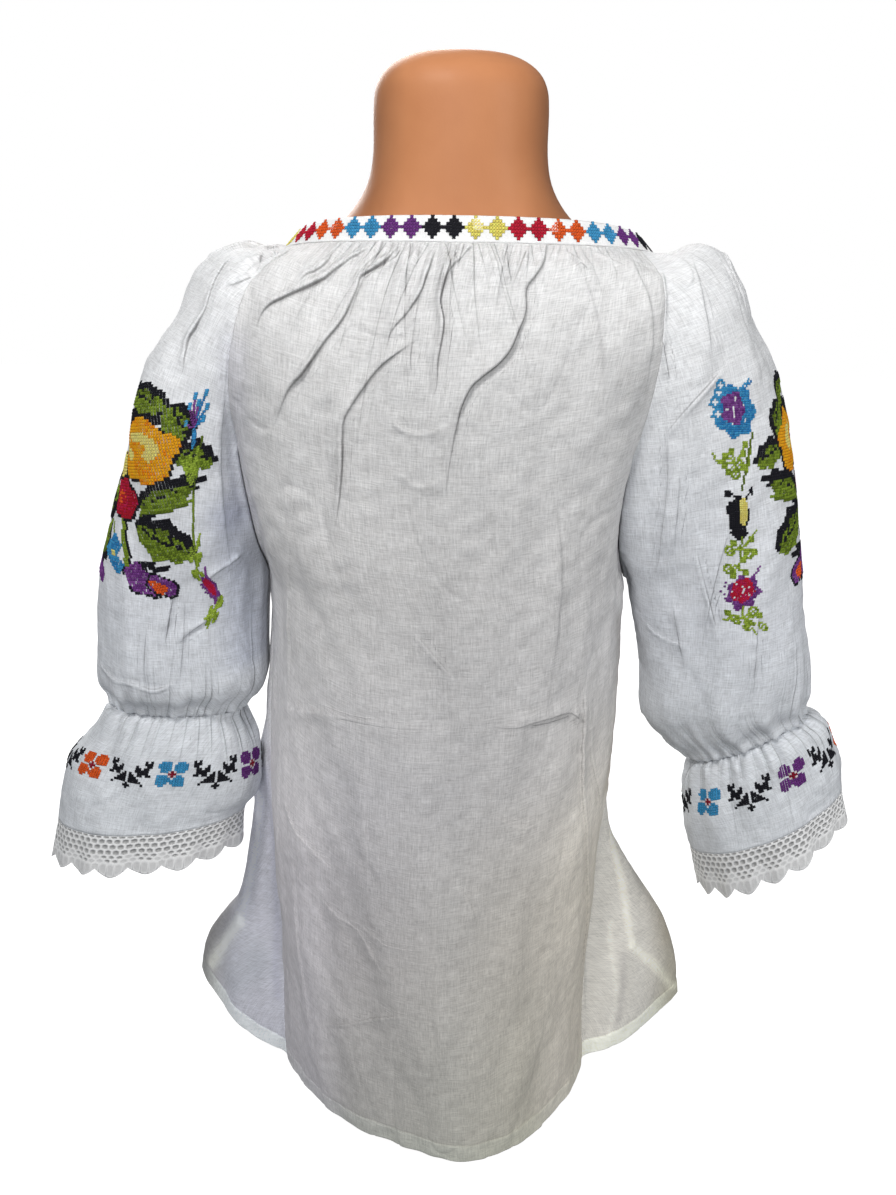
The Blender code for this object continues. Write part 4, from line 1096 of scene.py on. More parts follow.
def lace_look():
    """Crocheted cotton yarn: bright white with small rounded stitches, and painted shade down in its
    hollows and holes.
    """
    look = Tree("crochet_cotton")
    where = look.place()
    cells = look.node("TexVoronoi", (("Vector", where), ("Scale", 950.0)), feature="F1")
    twist = cells.outputs["Distance"]
    cloud = look.noise(where, 160.0, 3.0)
    yarn = look.ramp(twist, (0.15, grey(0.97)), (0.75, grey(0.86)))
    patches = look.ramp(cloud, (0.35, grey(0.95)), (0.6, grey(1.0)))
    colour = look.times(yarn, look.attribute("tint", "Color"), patches)
    return look.finish(
        ("Base Color", colour),
        ("Roughness", 0.8),
        ("Specular IOR Level", 0.25),
        ("Sheen Weight", 0.2),
        ("Normal", look.bump(twist, -0.6, 0.0006)),
    )


def thread_look():
    """Cotton embroidery floss in the colour its stitch carries, painted highlights and shade included,
    with fine strands.
    """
    look = Tree("embroidery_floss")
    tone = look.attribute("thread", "Color")
    strands = look.noise(look.place(), 2600.0, 2.0)
    colour = look.times(tone, look.ramp(strands, (0.3, grey(0.78)), (0.62, grey(1.0))))
    return look.finish(
        ("Base Color", colour),
        ("Roughness", 0.62),
        ("Specular IOR Level", 0.16),
        ("Normal", look.bump(strands, 0.4, 0.0003)),
    )


def plastic_look():
    """Tan moulded plastic with a soft gloss, faint mottling, scuffs and painted shade on the sides of the
    neck.
    """
    look = Tree("tan_moulded_plastic")
    where = look.place()
    cloud = look.noise(where, 22.0, 3.0)
    marks = look.noise(where, 60.0, 4.0, 0.7, (1.0, 1.0, 0.25))
    grain = look.noise(where, 700.0, 2.0)
    colour = look.ramp(cloud, (0.3, (0.505, 0.205, 0.088)), (0.7, (0.560, 0.238, 0.105)))
    scuff = look.ramp(marks, (0.70, grey(0.0)), (0.80, grey(0.35)))
    colour = look.mix("MIX", scuff, colour, (0.36, 0.15, 0.075))
    # painted shade: darker where the neck turns away to either side
    across = look.node("SeparateXYZ", (("Vector", where),)).outputs["X"]
    turned = look.ramp(look.math("ABSOLUTE", across), (0.036, grey(1.0)), (0.058, grey(0.70)))
    colour = look.times(colour, turned)
    gloss = look.ramp(marks, (0.4, grey(0.46)), (0.75, grey(0.58)))
    return look.finish(
        ("Base Color", colour),
        ("Roughness", gloss),
        ("Specular IOR Level", 0.22),
        ("Normal", look.bump(grain, 0.12, 0.0004)),
    )


def floor_look():
    """A pale floor that nearly matches the white behind the scene."""
    look = Tree("pale_studio_floor")
    cloud = look.noise(look.place(), 3.0, 2.0)
    return look.finish(
        ("Base Color", look.ramp(cloud, (0.3, grey(0.44)), (0.7, grey(0.46)))),
        ("Roughness", 0.95),
        ("Specular IOR Level", 0.1),
        ("Emission Color", (1.0, 1.0, 1.0, 1.0)),
        ("Emission Strength", 0.92),
    )


# ---------------------------------------------------------------- building the cloth
SEAM_FADE = 0.004  # how far from a seam the cloth keeps the seam's height
SEAM_SUNK = 0.00025
BAND_CALM = 0.030  # how far below the band the unevenness comes in
WAIST_ABOVE, WAIST_WIDE = 0.013, 0.009  # the sleeve draws in this far above its ring
WAIST_DEPTH = 2.6 * MM
RING_CALM = 0.006  # how far from the ring everything but its puckers comes in
HEM_RISE, HEM_DIP = 0.00045, 0.00035  # of the doubled cloth, and of its row of stitches
HEM_DIP_WIDE = 0.0009
# Unevenness: three lengths of feature, each with its height, and how upright they stand.
Linen = namedtuple("Linen", "soft soft_height middle middle_height small small_height upright")
LINEN = {
    "back": Linen(0.100, 0.0019, 0.036, 0.00072, 0.015, 0.00024, 0.42),
    "front": Linen(0.100, 0.0024, 0.040, 0.00060, 0.017, 0.00013, 0.38),
    "sleeve": Linen(0.070, 0.0020, 0.032, 0.00075, 0.015, 0.00020, 0.36),
    "ruffle": Linen(0.050, 0.0010, 0.024, 0.00045, 0.012, 0.00016, 0.60),
}


def hem_share(piece):
    """1 on the turned-up hem and 0 above it."""
    return smooth((HEM - piece.to_end) / 0.0014 + 0.5)


def undulation(points, kind):
    """Soft unevenness and small crumples as a function of place, longer than they are wide."""
    sizes = LINEN[kind]
    rng = np.random.default_rng(20)
    long = points * (1.0, 1.0, sizes.upright)
    total = sizes.soft_height * uneven(long, rng, sizes.soft)
    total += sizes.middle_height * uneven(long, rng, sizes.middle)
    total += sizes.small_height * uneven(points, rng, sizes.small)
    folded = uneven(long, rng, 0.060)
    return total - 0.00055 * bell(folded / 0.12)


def share_edge(a, ca, b, cb, rows):
    """Gives two sewn columns one average normal, and returns how far their normals agree."""
    na, nb = a.normals[rows, ca], b.normals[rows, cb]
    agree = np.clip((na * nb).sum(axis=1), 0.0, 1.0)
    both = na + nb
    size = np.linalg.norm(both, axis=1, keepdims=True)
    both = np.where(size > 0.6, both / np.maximum(size, 1e-9), 0.0)
    own = agree[:, None] > 0.15
    a.normals[rows, ca] = np.where(own, both, na)
    b.normals[rows, cb] = np.where(own, both, nb)
    return agree


def join_seams(pieces):
    """Brings sewn edges to one height, and closes the rings."""
    targets = {name: {} for name in pieces}
    for name_a, ca, name_b, cb in RAGLAN_SEAMS + SIDE_SEAMS:
        a, b = pieces[name_a], pieces[name_b]
        rows = np.arange(YOKE_STEPS + 1)
        if name_b == "front":
            rows = np.arange(YOKE_STEPS + 1, a.rows)
        agree = share_edge(a, ca, b, cb, rows)
        level = (a.height[rows, ca] + b.height[rows, cb]) / 2.0 * smooth(agree)
        level = level * smooth(np.abs(rows - YOKE_STEPS) / 14.0) - SEAM_SUNK
        for name, column in ((name_a, ca), (name_b, cb)):
            targets[name].setdefault(column, np.zeros(pieces[name].rows))[rows] = level
    for name, columns in targets.items():
        piece = pieces[name]
        for column, level in columns.items():
            keep = smooth(piece.from_side(column) / SEAM_FADE)
            if piece.closed_from:
                keep[YOKE_STEPS + 1 :] = 1.0
            piece.height = piece.height * keep + level[:, None] * (1.0 - keep)
        if piece.closed_from:
            wrap = (piece.height[YOKE_STEPS:, 0] + piece.height[YOKE_STEPS:, -1]) / 2.0
            piece.height[YOKE_STEPS:, 0] = wrap
            piece.height[YOKE_STEPS:, -1] = wrap
        elif piece.closed_from == 0:
            piece.height[:, -1] = piece.height[:, 0]


def cloth_heights(pieces):
    """How far each point of the cloth stands off the CAD's surface, before pieces are kept apart."""
    rng = np.random.default_rng(7)
    for name, piece in pieces.items():
        piece.height += undulation(piece.grid, name.split("_")[0])
        if name in GATHERS:  # from nothing under the band, so the row sewn to it stays in place
            piece.height *= smooth(piece.fall / BAND_CALM) * 0.9 + 0.1 * smooth(piece.fall / 0.004)
    behind = BACK_CREASES + SLEEVE_CREASES["left"] + SLEEVE_CREASES["right"]
    sleeves = ("sleeve_left", "sleeve_right")
    for body, facing, seed, creases in (("back", 1.0, 7, behind), ("front", -1.0, 8, FRONT_CREASES)):
        for name in (body, *sleeves):
            wavering = np.random.default_rng(seed)
            pieces[name].height += crease_height(pieces[name], creases, facing, wavering)
    for name, kind in GATHERS.items():
        pieces[name].height += band_gathers(pieces[name], rng, kind)
    for side in SIDES:
        arm, ruffle = pieces["sleeve_" + side], pieces["ruffle_" + side]
        arm.height += ring_gathers(arm, rng, True, ARM_PLEATS)
        ruffle.height += ring_gathers(ruffle, rng, False, RUFFLE_PLEATS)
        softer = np.random.default_rng(11)
        arm.height += ring_gathers(arm, softer, True, ARM_SOFT)
        ruffle.height += ring_gathers(ruffle, softer, False, RUFFLE_SOFT)
        arm.height -= WAIST_DEPTH * bell((arm.to_end - WAIST_ABOVE) / WAIST_WIDE)
        for piece, gap in ((arm, arm.to_end), (ruffle, ruffle.fall)):
            piece.height = piece.height * smooth(gap / RING_CALM) + ring_puckers(gap, piece.share)
        # the crochet edging is worked on the ruffle's last row
        ruffle.height *= smooth(ruffle.to_end / 0.004) * 0.6 + 0.4
    for name in ("back", "front"):
        piece = pieces[name]
        piece.height += HEM_RISE * hem_share(piece)
        piece.height -= HEM_DIP * bell((piece.to_end - HEM) / HEM_DIP_WIDE)
    join_seams(pieces)


def tree_of(grids):
    """A search tree over the surfaces of some pieces."""
    points, faces, count = [], [], 0
    for grid in grids:
        rows, columns = grid.shape[:2]
        index = count + np.arange(rows * columns).reshape(rows, columns)
        points.append(grid.reshape(-1, 3))
        faces.append(np.stack(cell_corners(index), axis=-1).reshape(-1, 4))
        count += rows * columns
    return BVHTree.FromPolygons(
        [Vector(p) for p in np.concatenate(points)], np.concatenate(faces).tolist()
    )


def distances(points, tree, reach):
    """Distance of each point to a tree, at most reach."""
    flat = points.reshape(-1, 3)
    out = np.full(len(flat), reach)
    for k, spot in enumerate(flat):
        hit = tree.find_nearest(Vector(spot), reach)
        if hit[0] is not None:
            out[k] = hit[3]
    return out.reshape(points.shape[:-1])


NEIGHBOUR_REACH = 0.010
NEIGHBOUR_SHARE = 0.40  # of the gap to its neighbour that a piece may fill
NEIGHBOUR_SPARE = 0.0002
FORM_REACH, FORM_SPARE = 0.03, 0.0006
UNDERARM_FIRST = int(YOKE_STEPS * 0.90)  # the rows where sleeve and body lie side by side
UNDERARM_LAST = YOKE_STEPS + 90


def stand_back(piece, rows, neighbour, heading):
    """Limits the height of points that face a neighbour along X, to a share of the gap."""
    gap = distances(piece.grid[rows], neighbour, NEIGHBOUR_REACH)
    facing = piece.normals[rows][..., 0] * heading > 0.1
    limit = np.maximum(gap * NEIGHBOUR_SHARE - NEIGHBOUR_SPARE, 0.0)
    piece.height[rows] = np.minimum(piece.height[rows], np.where(facing, limit, 1.0))


def keep_apart(pieces, form_tree):
    """Limits how far cloth stands out towards its neighbour, and in towards the form."""
    body = tree_of([pieces["back"].grid[::3, ::3], pieces["front"].grid[::3, ::3]])
    for side in SIDES:
        arm = pieces["sleeve_" + side]
        stand_back(arm, slice(UNDERARM_FIRST, arm.rows), body, -HAND[side])
        arm_tree = tree_of([arm.grid[::3, ::3]])
        for name in ("back", "front"):
            rows = slice(UNDERARM_FIRST, UNDERARM_LAST)
            stand_back(pieces[name], rows, arm_tree, HAND[side])
    for piece in pieces.values():
        if "ruffle" in piece.name:
            continue
        piece.near_form = distances(piece.grid, form_tree, FORM_REACH)
        piece.height = np.maximum(piece.height, SHELL + FORM_SPARE - piece.near_form)


FORM_SHADE = (0.045, 0.070, 0.078)  # how much the tan form behind thin cloth darkens it
SHADE_REACH = 0.0065
BODY_PAINTED_SHADE = (  # z, then the cloth's tone: painted shade, darker lower down, for the darkness inside showing through it and for the light falling off
    (0.00, 0.690, 0.690, 0.600), (0.04, 0.700, 0.685, 0.620), (0.20, 0.690, 0.668, 0.635),
    (0.35, 0.690, 0.678, 0.680), (0.50, 0.700, 0.690, 0.685), (0.60, 0.755, 0.750, 0.746),
    (0.66, 0.865, 0.860, 0.856), (0.72, 0.955, 0.955, 0.955),
)
# z, then the sleeves' tone as painted light and shade: paler high up, cooler and darker lower down
SLEEVE_PAINTED_LIGHT_AND_SHADE = (
    (0.36, 0.880, 0.910, 0.950), (0.46, 0.880, 0.905, 0.955), (0.56, 0.900, 0.920, 0.955),
    (0.64, 0.960, 0.970, 0.985), (0.72, 1.020, 1.025, 1.030),
)
SIDE_REACH, SIDE_PAINTED_SHADE = 0.110, (0.90, 0.875, 0.84)  # the body's turning sides, with painted shade on them
PAINTED_WARM_LIGHT, PAINTED_COOL_SHADE = (0.13, 0.08, -0.03), (-0.01, -0.02, 0.06)  # painted warm light on its lower right and painted cool shade on its lower left
LOWER_TOP, LOWER_FADE = 0.46, 0.24  # where these tones come in, from here downwards
TURNED_AT = 0.11  # the X at which the body has turned to its side
FLANK_PAINTED_LIGHT, FLANK_LOW, FLANK_HIGH = 0.19, 0.25, 0.63  # painted light: how much paler its sides are, and at what Z
# The loose sides, with painted light where light comes through both layers, the painted light
# their hem adds, and what any hem adds.
WING_REACH, WING_PAINTED_LIGHT = 0.125, (1.02, 1.03, 1.05)
WING_HEM_REACH, WING_HEM_PAINTED_LIGHT = 0.120, (0.26, 0.29, 0.23)
HEM_TONE = (0.045, 0.062, 0.050)
HEM_LINE, HEM_LINE_WIDE = 0.07, 0.0011  # the darker row of stitches

# Painted light and shade, for what shines or shades through the cloth seen from behind: the tone
# to add, the half width in millimetres, the path as x and z, and whether it comes in below the
# neckband. The first eight paint the hem, edges and folds of the loose sides, and the others
# paint shade on the body's sides.
PaintedBand = namedtuple("PaintedBand", "tone width path fade")
PAINTED_BANDS = (
    PaintedBand((0.60, 0.62, 0.52), 4.5, ((226, 58), (214, 84), (202, 108), (192, 128)), False),
    PaintedBand((0.34, 0.36, 0.36), 4, ((192, 128), (180, 181), (168, 237), (162, 267)), False),
    PaintedBand((-0.14, -0.12, -0.14), 17, ((200, 66), (184, 88), (172, 110)), False),
    PaintedBand((0.44, 0.45, 0.36), 2.8, ((-224, 30), (-216, 40), (-192, 81), (-172, 109), (-165, 120)), False),
    PaintedBand((0.34, 0.34, 0.28), 3.2, ((-165, 120), (-158, 155), (-153, 183), (-146, 210), (-140, 231)),
         False),
    PaintedBand((-0.12, -0.13, -0.13), 12, ((-206, 100), (-190, 140), (-176, 180)), False),
    PaintedBand((0.20, 0.20, 0.17), 2.5, ((-144, 150), (-144, 133), (-148, 106), (-152, 77), (-150, 51),
                                   (-146, 32)), False),
    PaintedBand((-0.20, -0.20, -0.17), 4, ((-156, 112), (-158, 77), (-156, 45)), False),
    PaintedBand((-0.10, -0.10, -0.07), 5, ((150, 300), (150, 236), (152, 162), (153, 120), (150, 82)), False),
    PaintedBand((-0.09, -0.09, -0.05), 12, ((136, 640), (138, 598), (142, 565), (148, 530)), True),
    PaintedBand((-0.17, -0.16, -0.11), 13, ((154, 530), (153, 500), (152, 458), (154, 420)), True),
    PaintedBand((-0.20, -0.21, -0.22), 5, ((-117, 455), (-123, 420), (-124, 380), (-121, 340), (-118, 312)),
         False),
)


def path_gap(places, path):
    """Distance of each place to a path of points."""
    flat = places.reshape(-1, 2)
    best = np.full(len(flat), 1.0)
    for spot in path:
        best = np.minimum(best, np.hypot(flat[:, 0] - spot[0], flat[:, 1] - spot[1]))
    return best.reshape(places.shape[:-1])


def painted_light_and_shade(piece):
    """How the cloth's tone changes with what lies behind it, as painted light and shade: darker lower
    down and on the turning sides, warmer and cooler low down, paler flanks, painted light on the loose
    sides, and the painted bands.
    """
    body = piece.name in ("back", "front")
    table = np.array(BODY_PAINTED_SHADE if body else SLEEVE_PAINTED_LIGHT_AND_SHADE)
    z = piece.grid[..., 2]
    tone = np.stack([np.interp(z, table[:, 0], table[:, k]) for k in (1, 2, 3)], axis=-1)
    if body:
        low = smooth((LOWER_TOP - z) / LOWER_FADE)
        zones = ((SIDE_REACH, SIDE_PAINTED_SHADE),)
        if piece.name == "front":
            zones += ((WING_REACH, WING_PAINTED_LIGHT),)
        for wide, shade in zones:
            part = smooth((wide - piece.to_side) / (0.5 * wide)) * low
            tone += part[..., None] * (np.array(shade) - tone)
        turned = np.clip(piece.grid[..., 0] / TURNED_AT, -1.0, 1.0)
        for share, shift in ((np.maximum(-turned, 0.0), PAINTED_WARM_LIGHT), (np.maximum(turned, 0.0), PAINTED_COOL_SHADE)):
            tone *= 1.0 + (share * low)[..., None] * np.array(shift)
        flank = smooth((z - FLANK_LOW) / 0.06) * smooth((FLANK_HIGH - z) / 0.08)
        tone *= 1.0 + (FLANK_PAINTED_LIGHT * flank * np.abs(turned) ** 1.3)[..., None]
    behind = np.where(piece.normals[..., 1] > 0.0, 1.0, 0.0)
    for painted_band in PAINTED_BANDS:
        gap = path_gap(piece.grid[..., [0, 2]], smooth_path(painted_band.path))
        part = bell(gap / (painted_band.width * MM)) * behind
        if painted_band.fade:
            part = part * smooth(piece.fall / 0.03)
        tone = tone + part[..., None] * np.array(painted_band.tone)
    return tone


def cloth_tints(pieces):
    """Colours the cloth darker over the form, with the painted light and shade of what shows through it,
    and paler on the hem, with painted light on the loose sides' hem.
    """
    for piece in pieces.values():
        tint = np.ones(piece.grid.shape)
        if hasattr(piece, "near_form"):
            close = bell((piece.near_form + piece.height) / SHADE_REACH)
            close = np.clip(close * 1.15, 0.0, 1.0)
            tint -= close[..., None] * FORM_SHADE
        tint *= painted_light_and_shade(piece)
        if piece.name in ("back", "front"):
            hem = hem_share(piece)
            wing = smooth((WING_HEM_REACH - piece.to_side) / 0.030) * hem * (piece.name == "front")
            tint += hem[..., None] * HEM_TONE + wing[..., None] * WING_HEM_PAINTED_LIGHT
            tint -= HEM_LINE * bell((piece.to_end - HEM) / HEM_LINE_WIDE)[..., None]
        piece.tint = tint


def build_cloth():
    """The cloth pieces with their final heights and tints, and the form's points and faces."""
    pieces = build_grids()
    form_points, form_faces = build_form_mesh()
    form_tree = BVHTree.FromPolygons([Vector(p) for p in form_points], sum(form_faces, []))
    cloth_heights(pieces)
    keep_apart(pieces, form_tree)
    for piece in pieces.values():
        piece.finish()
    cloth_tints(pieces)
    return pieces, (form_points, form_faces)


# ---------------------------------------------------------------- neckband
BAND_STEPS = 480


def band_line():
    """The band's lower edge, its directions up, off its face and outwards, and the run round it."""
    turn = np.linspace(0.0, 2.0 * math.pi, BAND_STEPS + 1) + math.pi / 2.0
    cos, sin = np.cos(turn), np.sin(turn)
    half = np.where(cos > 0, SLEEVE["left"][0].outer_x, SLEEVE["right"][0].outer_x)
    centre = SLEEVE["left"][0].centre_y
    through = np.where(sin > 0, BODY[0].back - centre, BODY[0].front + centre)
    z = NECK_Z - neck_drop(turn, 0.0)
    spot = np.stack((half * cos, centre + through * sin, z), axis=1)
    outward = unit(np.stack((cos / half, sin / through, np.zeros_like(cos)), axis=1))
    lean = BAND_LEAN_BACK + (BAND_LEAN_SIDE - BAND_LEAN_BACK) * cos**2
    rise = np.sqrt(BAND_HEIGHT**2 - lean**2)
    up = -outward * lean[:, None]
    up[:, 2] += rise
    up /= BAND_HEIGHT
    face = outward * rise[:, None] / BAND_HEIGHT
    face[:, 2] = lean / BAND_HEIGHT
    run = np.concatenate(([0.0], np.cumsum(np.linalg.norm(np.diff(spot, axis=0), axis=1))))
    return spot, up, face, outward, run


# A point of the band's section: share of its height, and how far it stands out of the CAD's face.
BAND_SECTION = (
    (0.000, 0.00010), (0.035, 0.00055), (0.085, 0.00060), (0.130, 0.00010), (0.165, 0.00000),
    (0.500, 0.00030), (0.880, 0.00020), (0.960, -0.00010), (1.000, -0.00080),
)
BAND_WAVE = 0.00035


def build_band(look):
    """The neckband: a rolled lower edge, a slightly uneven face and a wall inside."""
    spot, up, face, outward, run = band_line()
    wave = BAND_WAVE * np.sin(run * 2 * math.pi / 0.031) * np.sin(run * 2 * math.pi / 0.083 + 1.0)
    rings = []
    for share, out in BAND_SECTION:
        rings.append(spot + up * BAND_HEIGHT * share + face * (out + wave * share)[:, None])
    rings.append(spot + up * BAND_HEIGHT - outward * BAND_WALL)
    rings.append(spot - outward * BAND_WALL + up * 0.0002)
    rings = np.array(rings)[:, :-1]
    low = np.arange(len(rings) * BAND_STEPS).reshape(len(rings), BAND_STEPS)
    high = np.roll(low, -1, axis=0)
    corners = (np.roll(high, -1, axis=1), high, low, np.roll(low, -1, axis=1))
    quads = np.stack(corners, axis=-1).reshape(-1, 4)
    return mesh_object("neckband_cloth", rings.reshape(-1, 3), [quads], look)


# ---------------------------------------------------------------- stitches
FLOSS = {
    "orange": (1.000, 0.430, 0.012),
    "amber": (0.960, 0.290, 0.008),
    "cream": (0.900, 0.770, 0.230),
    "red": (0.470, 0.010, 0.030),
    "crimson": (0.560, 0.015, 0.090),
    "olive": (0.125, 0.185, 0.016),
    "leaf": (0.225, 0.330, 0.030),
    "lime": (0.380, 0.520, 0.060),
    "black": (0.012, 0.012, 0.018),
    "blue": (0.030, 0.240, 0.560),
    "sky": (0.060, 0.350, 0.650),
    "purple": (0.170, 0.040, 0.240),
    "violet": (0.260, 0.080, 0.340),
    "scarlet": (0.840, 0.120, 0.020),
    "yellow": (0.920, 0.780, 0.170),
    "band_red": (0.560, 0.012, 0.040),
    "wine": (0.300, 0.010, 0.030),
    "rose_white": (0.850, 0.700, 0.720),
}
SLEEVE_SEED, CUFF_SEED, BAND_SEED = 31, 37, 41
STITCH_RISE = 0.00042
STITCH_HALF_WIDTH = 0.31  # of the stitch's pitch
STITCH_SUNK = 0.00015
STITCH_BED = 0.00012
STITCH_LAP = 0.00013  # how much higher the second bar lies
STITCH_UNEVEN, FLOSS_UNEVEN = 0.05, 0.07
STITCH_LONG, BED_LONG = 0.97, 1.02  # of the pitch
TOP_PAINTED_HIGHLIGHT, FOOT_PAINTED_SHADE, BED_PAINTED_SHADE = 1.14, 0.42, 0.40  # of the floss, down into the stitch: a painted highlight on top, painted shade at the bars' feet and in the quad beneath
BAR = (  # along the bar, across it, up: shares of its half length, half width and rise
    (-1.0, -0.9, 0.0), (-1.0, 0.9, 0.0), (1.0, 0.9, 0.0), (1.0, -0.9, 0.0),
    (-0.62, 0.0, 1.0), (0.62, 0.0, 1.0),
)
BAR_QUADS = ((0, 3, 5, 4), (2, 1, 4, 5), (0, 1, 2, 3))
BAR_ENDS = ((1, 0, 4), (3, 2, 5))


def stitch_mesh(name, centres, right, down, normals, colours, pitch, look, seed):
    """Cross-stitches: two crossed bars of floss each, a little uneven, with painted highlights and
    painted shade in their colour.
    """
    rng = np.random.default_rng(seed)
    count = len(centres)
    sway = rng.normal(0.0, STITCH_UNEVEN, (count, 2))
    size = 1.0 + rng.normal(0.0, STITCH_UNEVEN, (count, 1))
    half = pitch[:, None] * 0.5 * size
    points, quads, ends, shades = [], [], [], []
    tone = colours * (1.0 + rng.normal(0.0, FLOSS_UNEVEN, (count, 1)))
    for turn, lift in ((1.0, 0.0), (-1.0, STITCH_LAP)):
        along = right * (1.0 + sway[:, :1]) + down * turn * (1.0 + sway[:, 1:])
        along = along * half * STITCH_LONG
        across = unit(np.cross(normals, along)) * pitch[:, None] * STITCH_HALF_WIDTH
        for a, b, c in BAR:
            up = normals * (c * STITCH_RISE + lift - STITCH_SUNK * (1.0 - c))
            points.append(centres + along * a + across * b + up)
            # painted highlight on each bar's ridge, painted shade at its foot
            shades.append(tone * (TOP_PAINTED_HIGHLIGHT if c else FOOT_PAINTED_SHADE))
    points = np.stack(points, axis=1)
    shades = np.stack(shades, axis=1)
    base = np.arange(count)[:, None] * 2 * len(BAR)
    for bar in (0, len(BAR)):
        quads += [base + np.array(face) + bar for face in BAR_QUADS]
        ends += [base + np.array(face) + bar for face in BAR_ENDS]
    # a dark quad under each stitch, down in the cloth: painted shade between the bars
    beds = [
        centres + (right * a + down * b) * half * BED_LONG + normals * STITCH_BED
        for a, b in ((-1, -1), (-1, 1), (1, 1), (1, -1))
    ]
    bed_base = points.shape[0] * points.shape[1]
    quads.append(bed_base + np.arange(4 * count).reshape(-1, 4))
    bed_shades = np.repeat(tone * BED_PAINTED_SHADE, 4, axis=0)
    return mesh_object(
        name,
        np.concatenate((points.reshape(-1, 3), np.stack(beds, axis=1).reshape(-1, 3))),
        [np.concatenate(quads), np.concatenate(ends)],
        look,
        thread=np.clip(np.concatenate((shades.reshape(-1, 3), bed_shades)), 0.0, 1.0),
    )


class Chart:
    """Stitches by their whole-number place: x to the right as seen from outside, y down."""

    def __init__(self, seed):
        self.cells = {}
        self.rng = np.random.default_rng(seed)

    def put(self, x, y, colour):
        self.cells[(int(round(x)), int(round(y)))] = colour

    def mixed(self, colour, other, share):
        return other if self.rng.random() < share else colour

    def line(self, x0, y0, x1, y1, colour):
        steps = int(max(abs(x1 - x0), abs(y1 - y0), 1))
        for k in range(steps + 1):
            self.put(x0 + (x1 - x0) * k / steps, y0 + (y1 - y0) * k / steps, colour)

    def blot(self, x, y, wide, tall, colour, lobes=0, depth=0.0, turn=0.0, other=None, share=0.0):
        """A filled oval with a lobed outline."""
        for j in range(int(y - tall * 1.4) - 1, int(y + tall * 1.4) + 2):
            for i in range(int(x - wide * 1.4) - 1, int(x + wide * 1.4) + 2):
                dx, dy = (i - x) / wide, (j - y) / tall
                edge = 1.0 + depth * math.cos(lobes * math.atan2(dy, dx) + turn)
                if math.hypot(dx, dy) < edge:
                    self.put(i, j, self.mixed(colour, other, share) if other else colour)

    def leaf(self, x, y, long, wide, degrees, dark=1):
        """A toothed leaf: olive and green, a black side, veins and outline."""
        cos, sin = math.cos(math.radians(degrees)), math.sin(math.radians(degrees))
        reach = int(max(long, wide)) + 2
        for j in range(int(y) - reach, int(y) + reach + 1):
            for i in range(int(x) - reach, int(x) + reach + 1):
                p = ((i - x) * cos + (j - y) * sin) / long
                q = (-(i - x) * sin + (j - y) * cos) / wide * dark
                if abs(p) >= 1.0:
                    continue
                tooth = 0.10 * math.cos(9.0 * p)
                edge = (1.0 - abs(p) ** 2.2) ** 0.8 * (1.0 + tooth)
                if abs(q) >= edge:
                    continue
                vein = abs(q) < 0.10 and -0.7 < p < 0.6
                side_vein = q > 0 and (p * long * 0.21 + q * wide * 0.24) % 1.0 < 0.18
                if q > edge - 0.50 or ((vein or side_vein) and self.rng.random() < 0.8):
                    colour = "black"
                else:
                    colour = self.mixed("leaf" if q < 0.3 else "olive", "olive", 0.35)
                self.put(i, j, colour)

    def sprout(self, x, y, twigs, colour="lime"):
        """Fine twigs from a point, each with a small ring of stitches at its end."""
        for dx, dy, knot in twigs:
            self.line(x, y, x + dx, y + dy, colour)
            for a in range(-2, 3):
                for b in range(-2, 3):
                    ring = math.hypot(a, b)
                    if knot and 0.5 < ring < (1.5 if knot == 1 else 2.3) and ring > knot - 0.9:
                        self.put(x + dx + a, y + dy + b, self.mixed(colour, "leaf", 0.5))


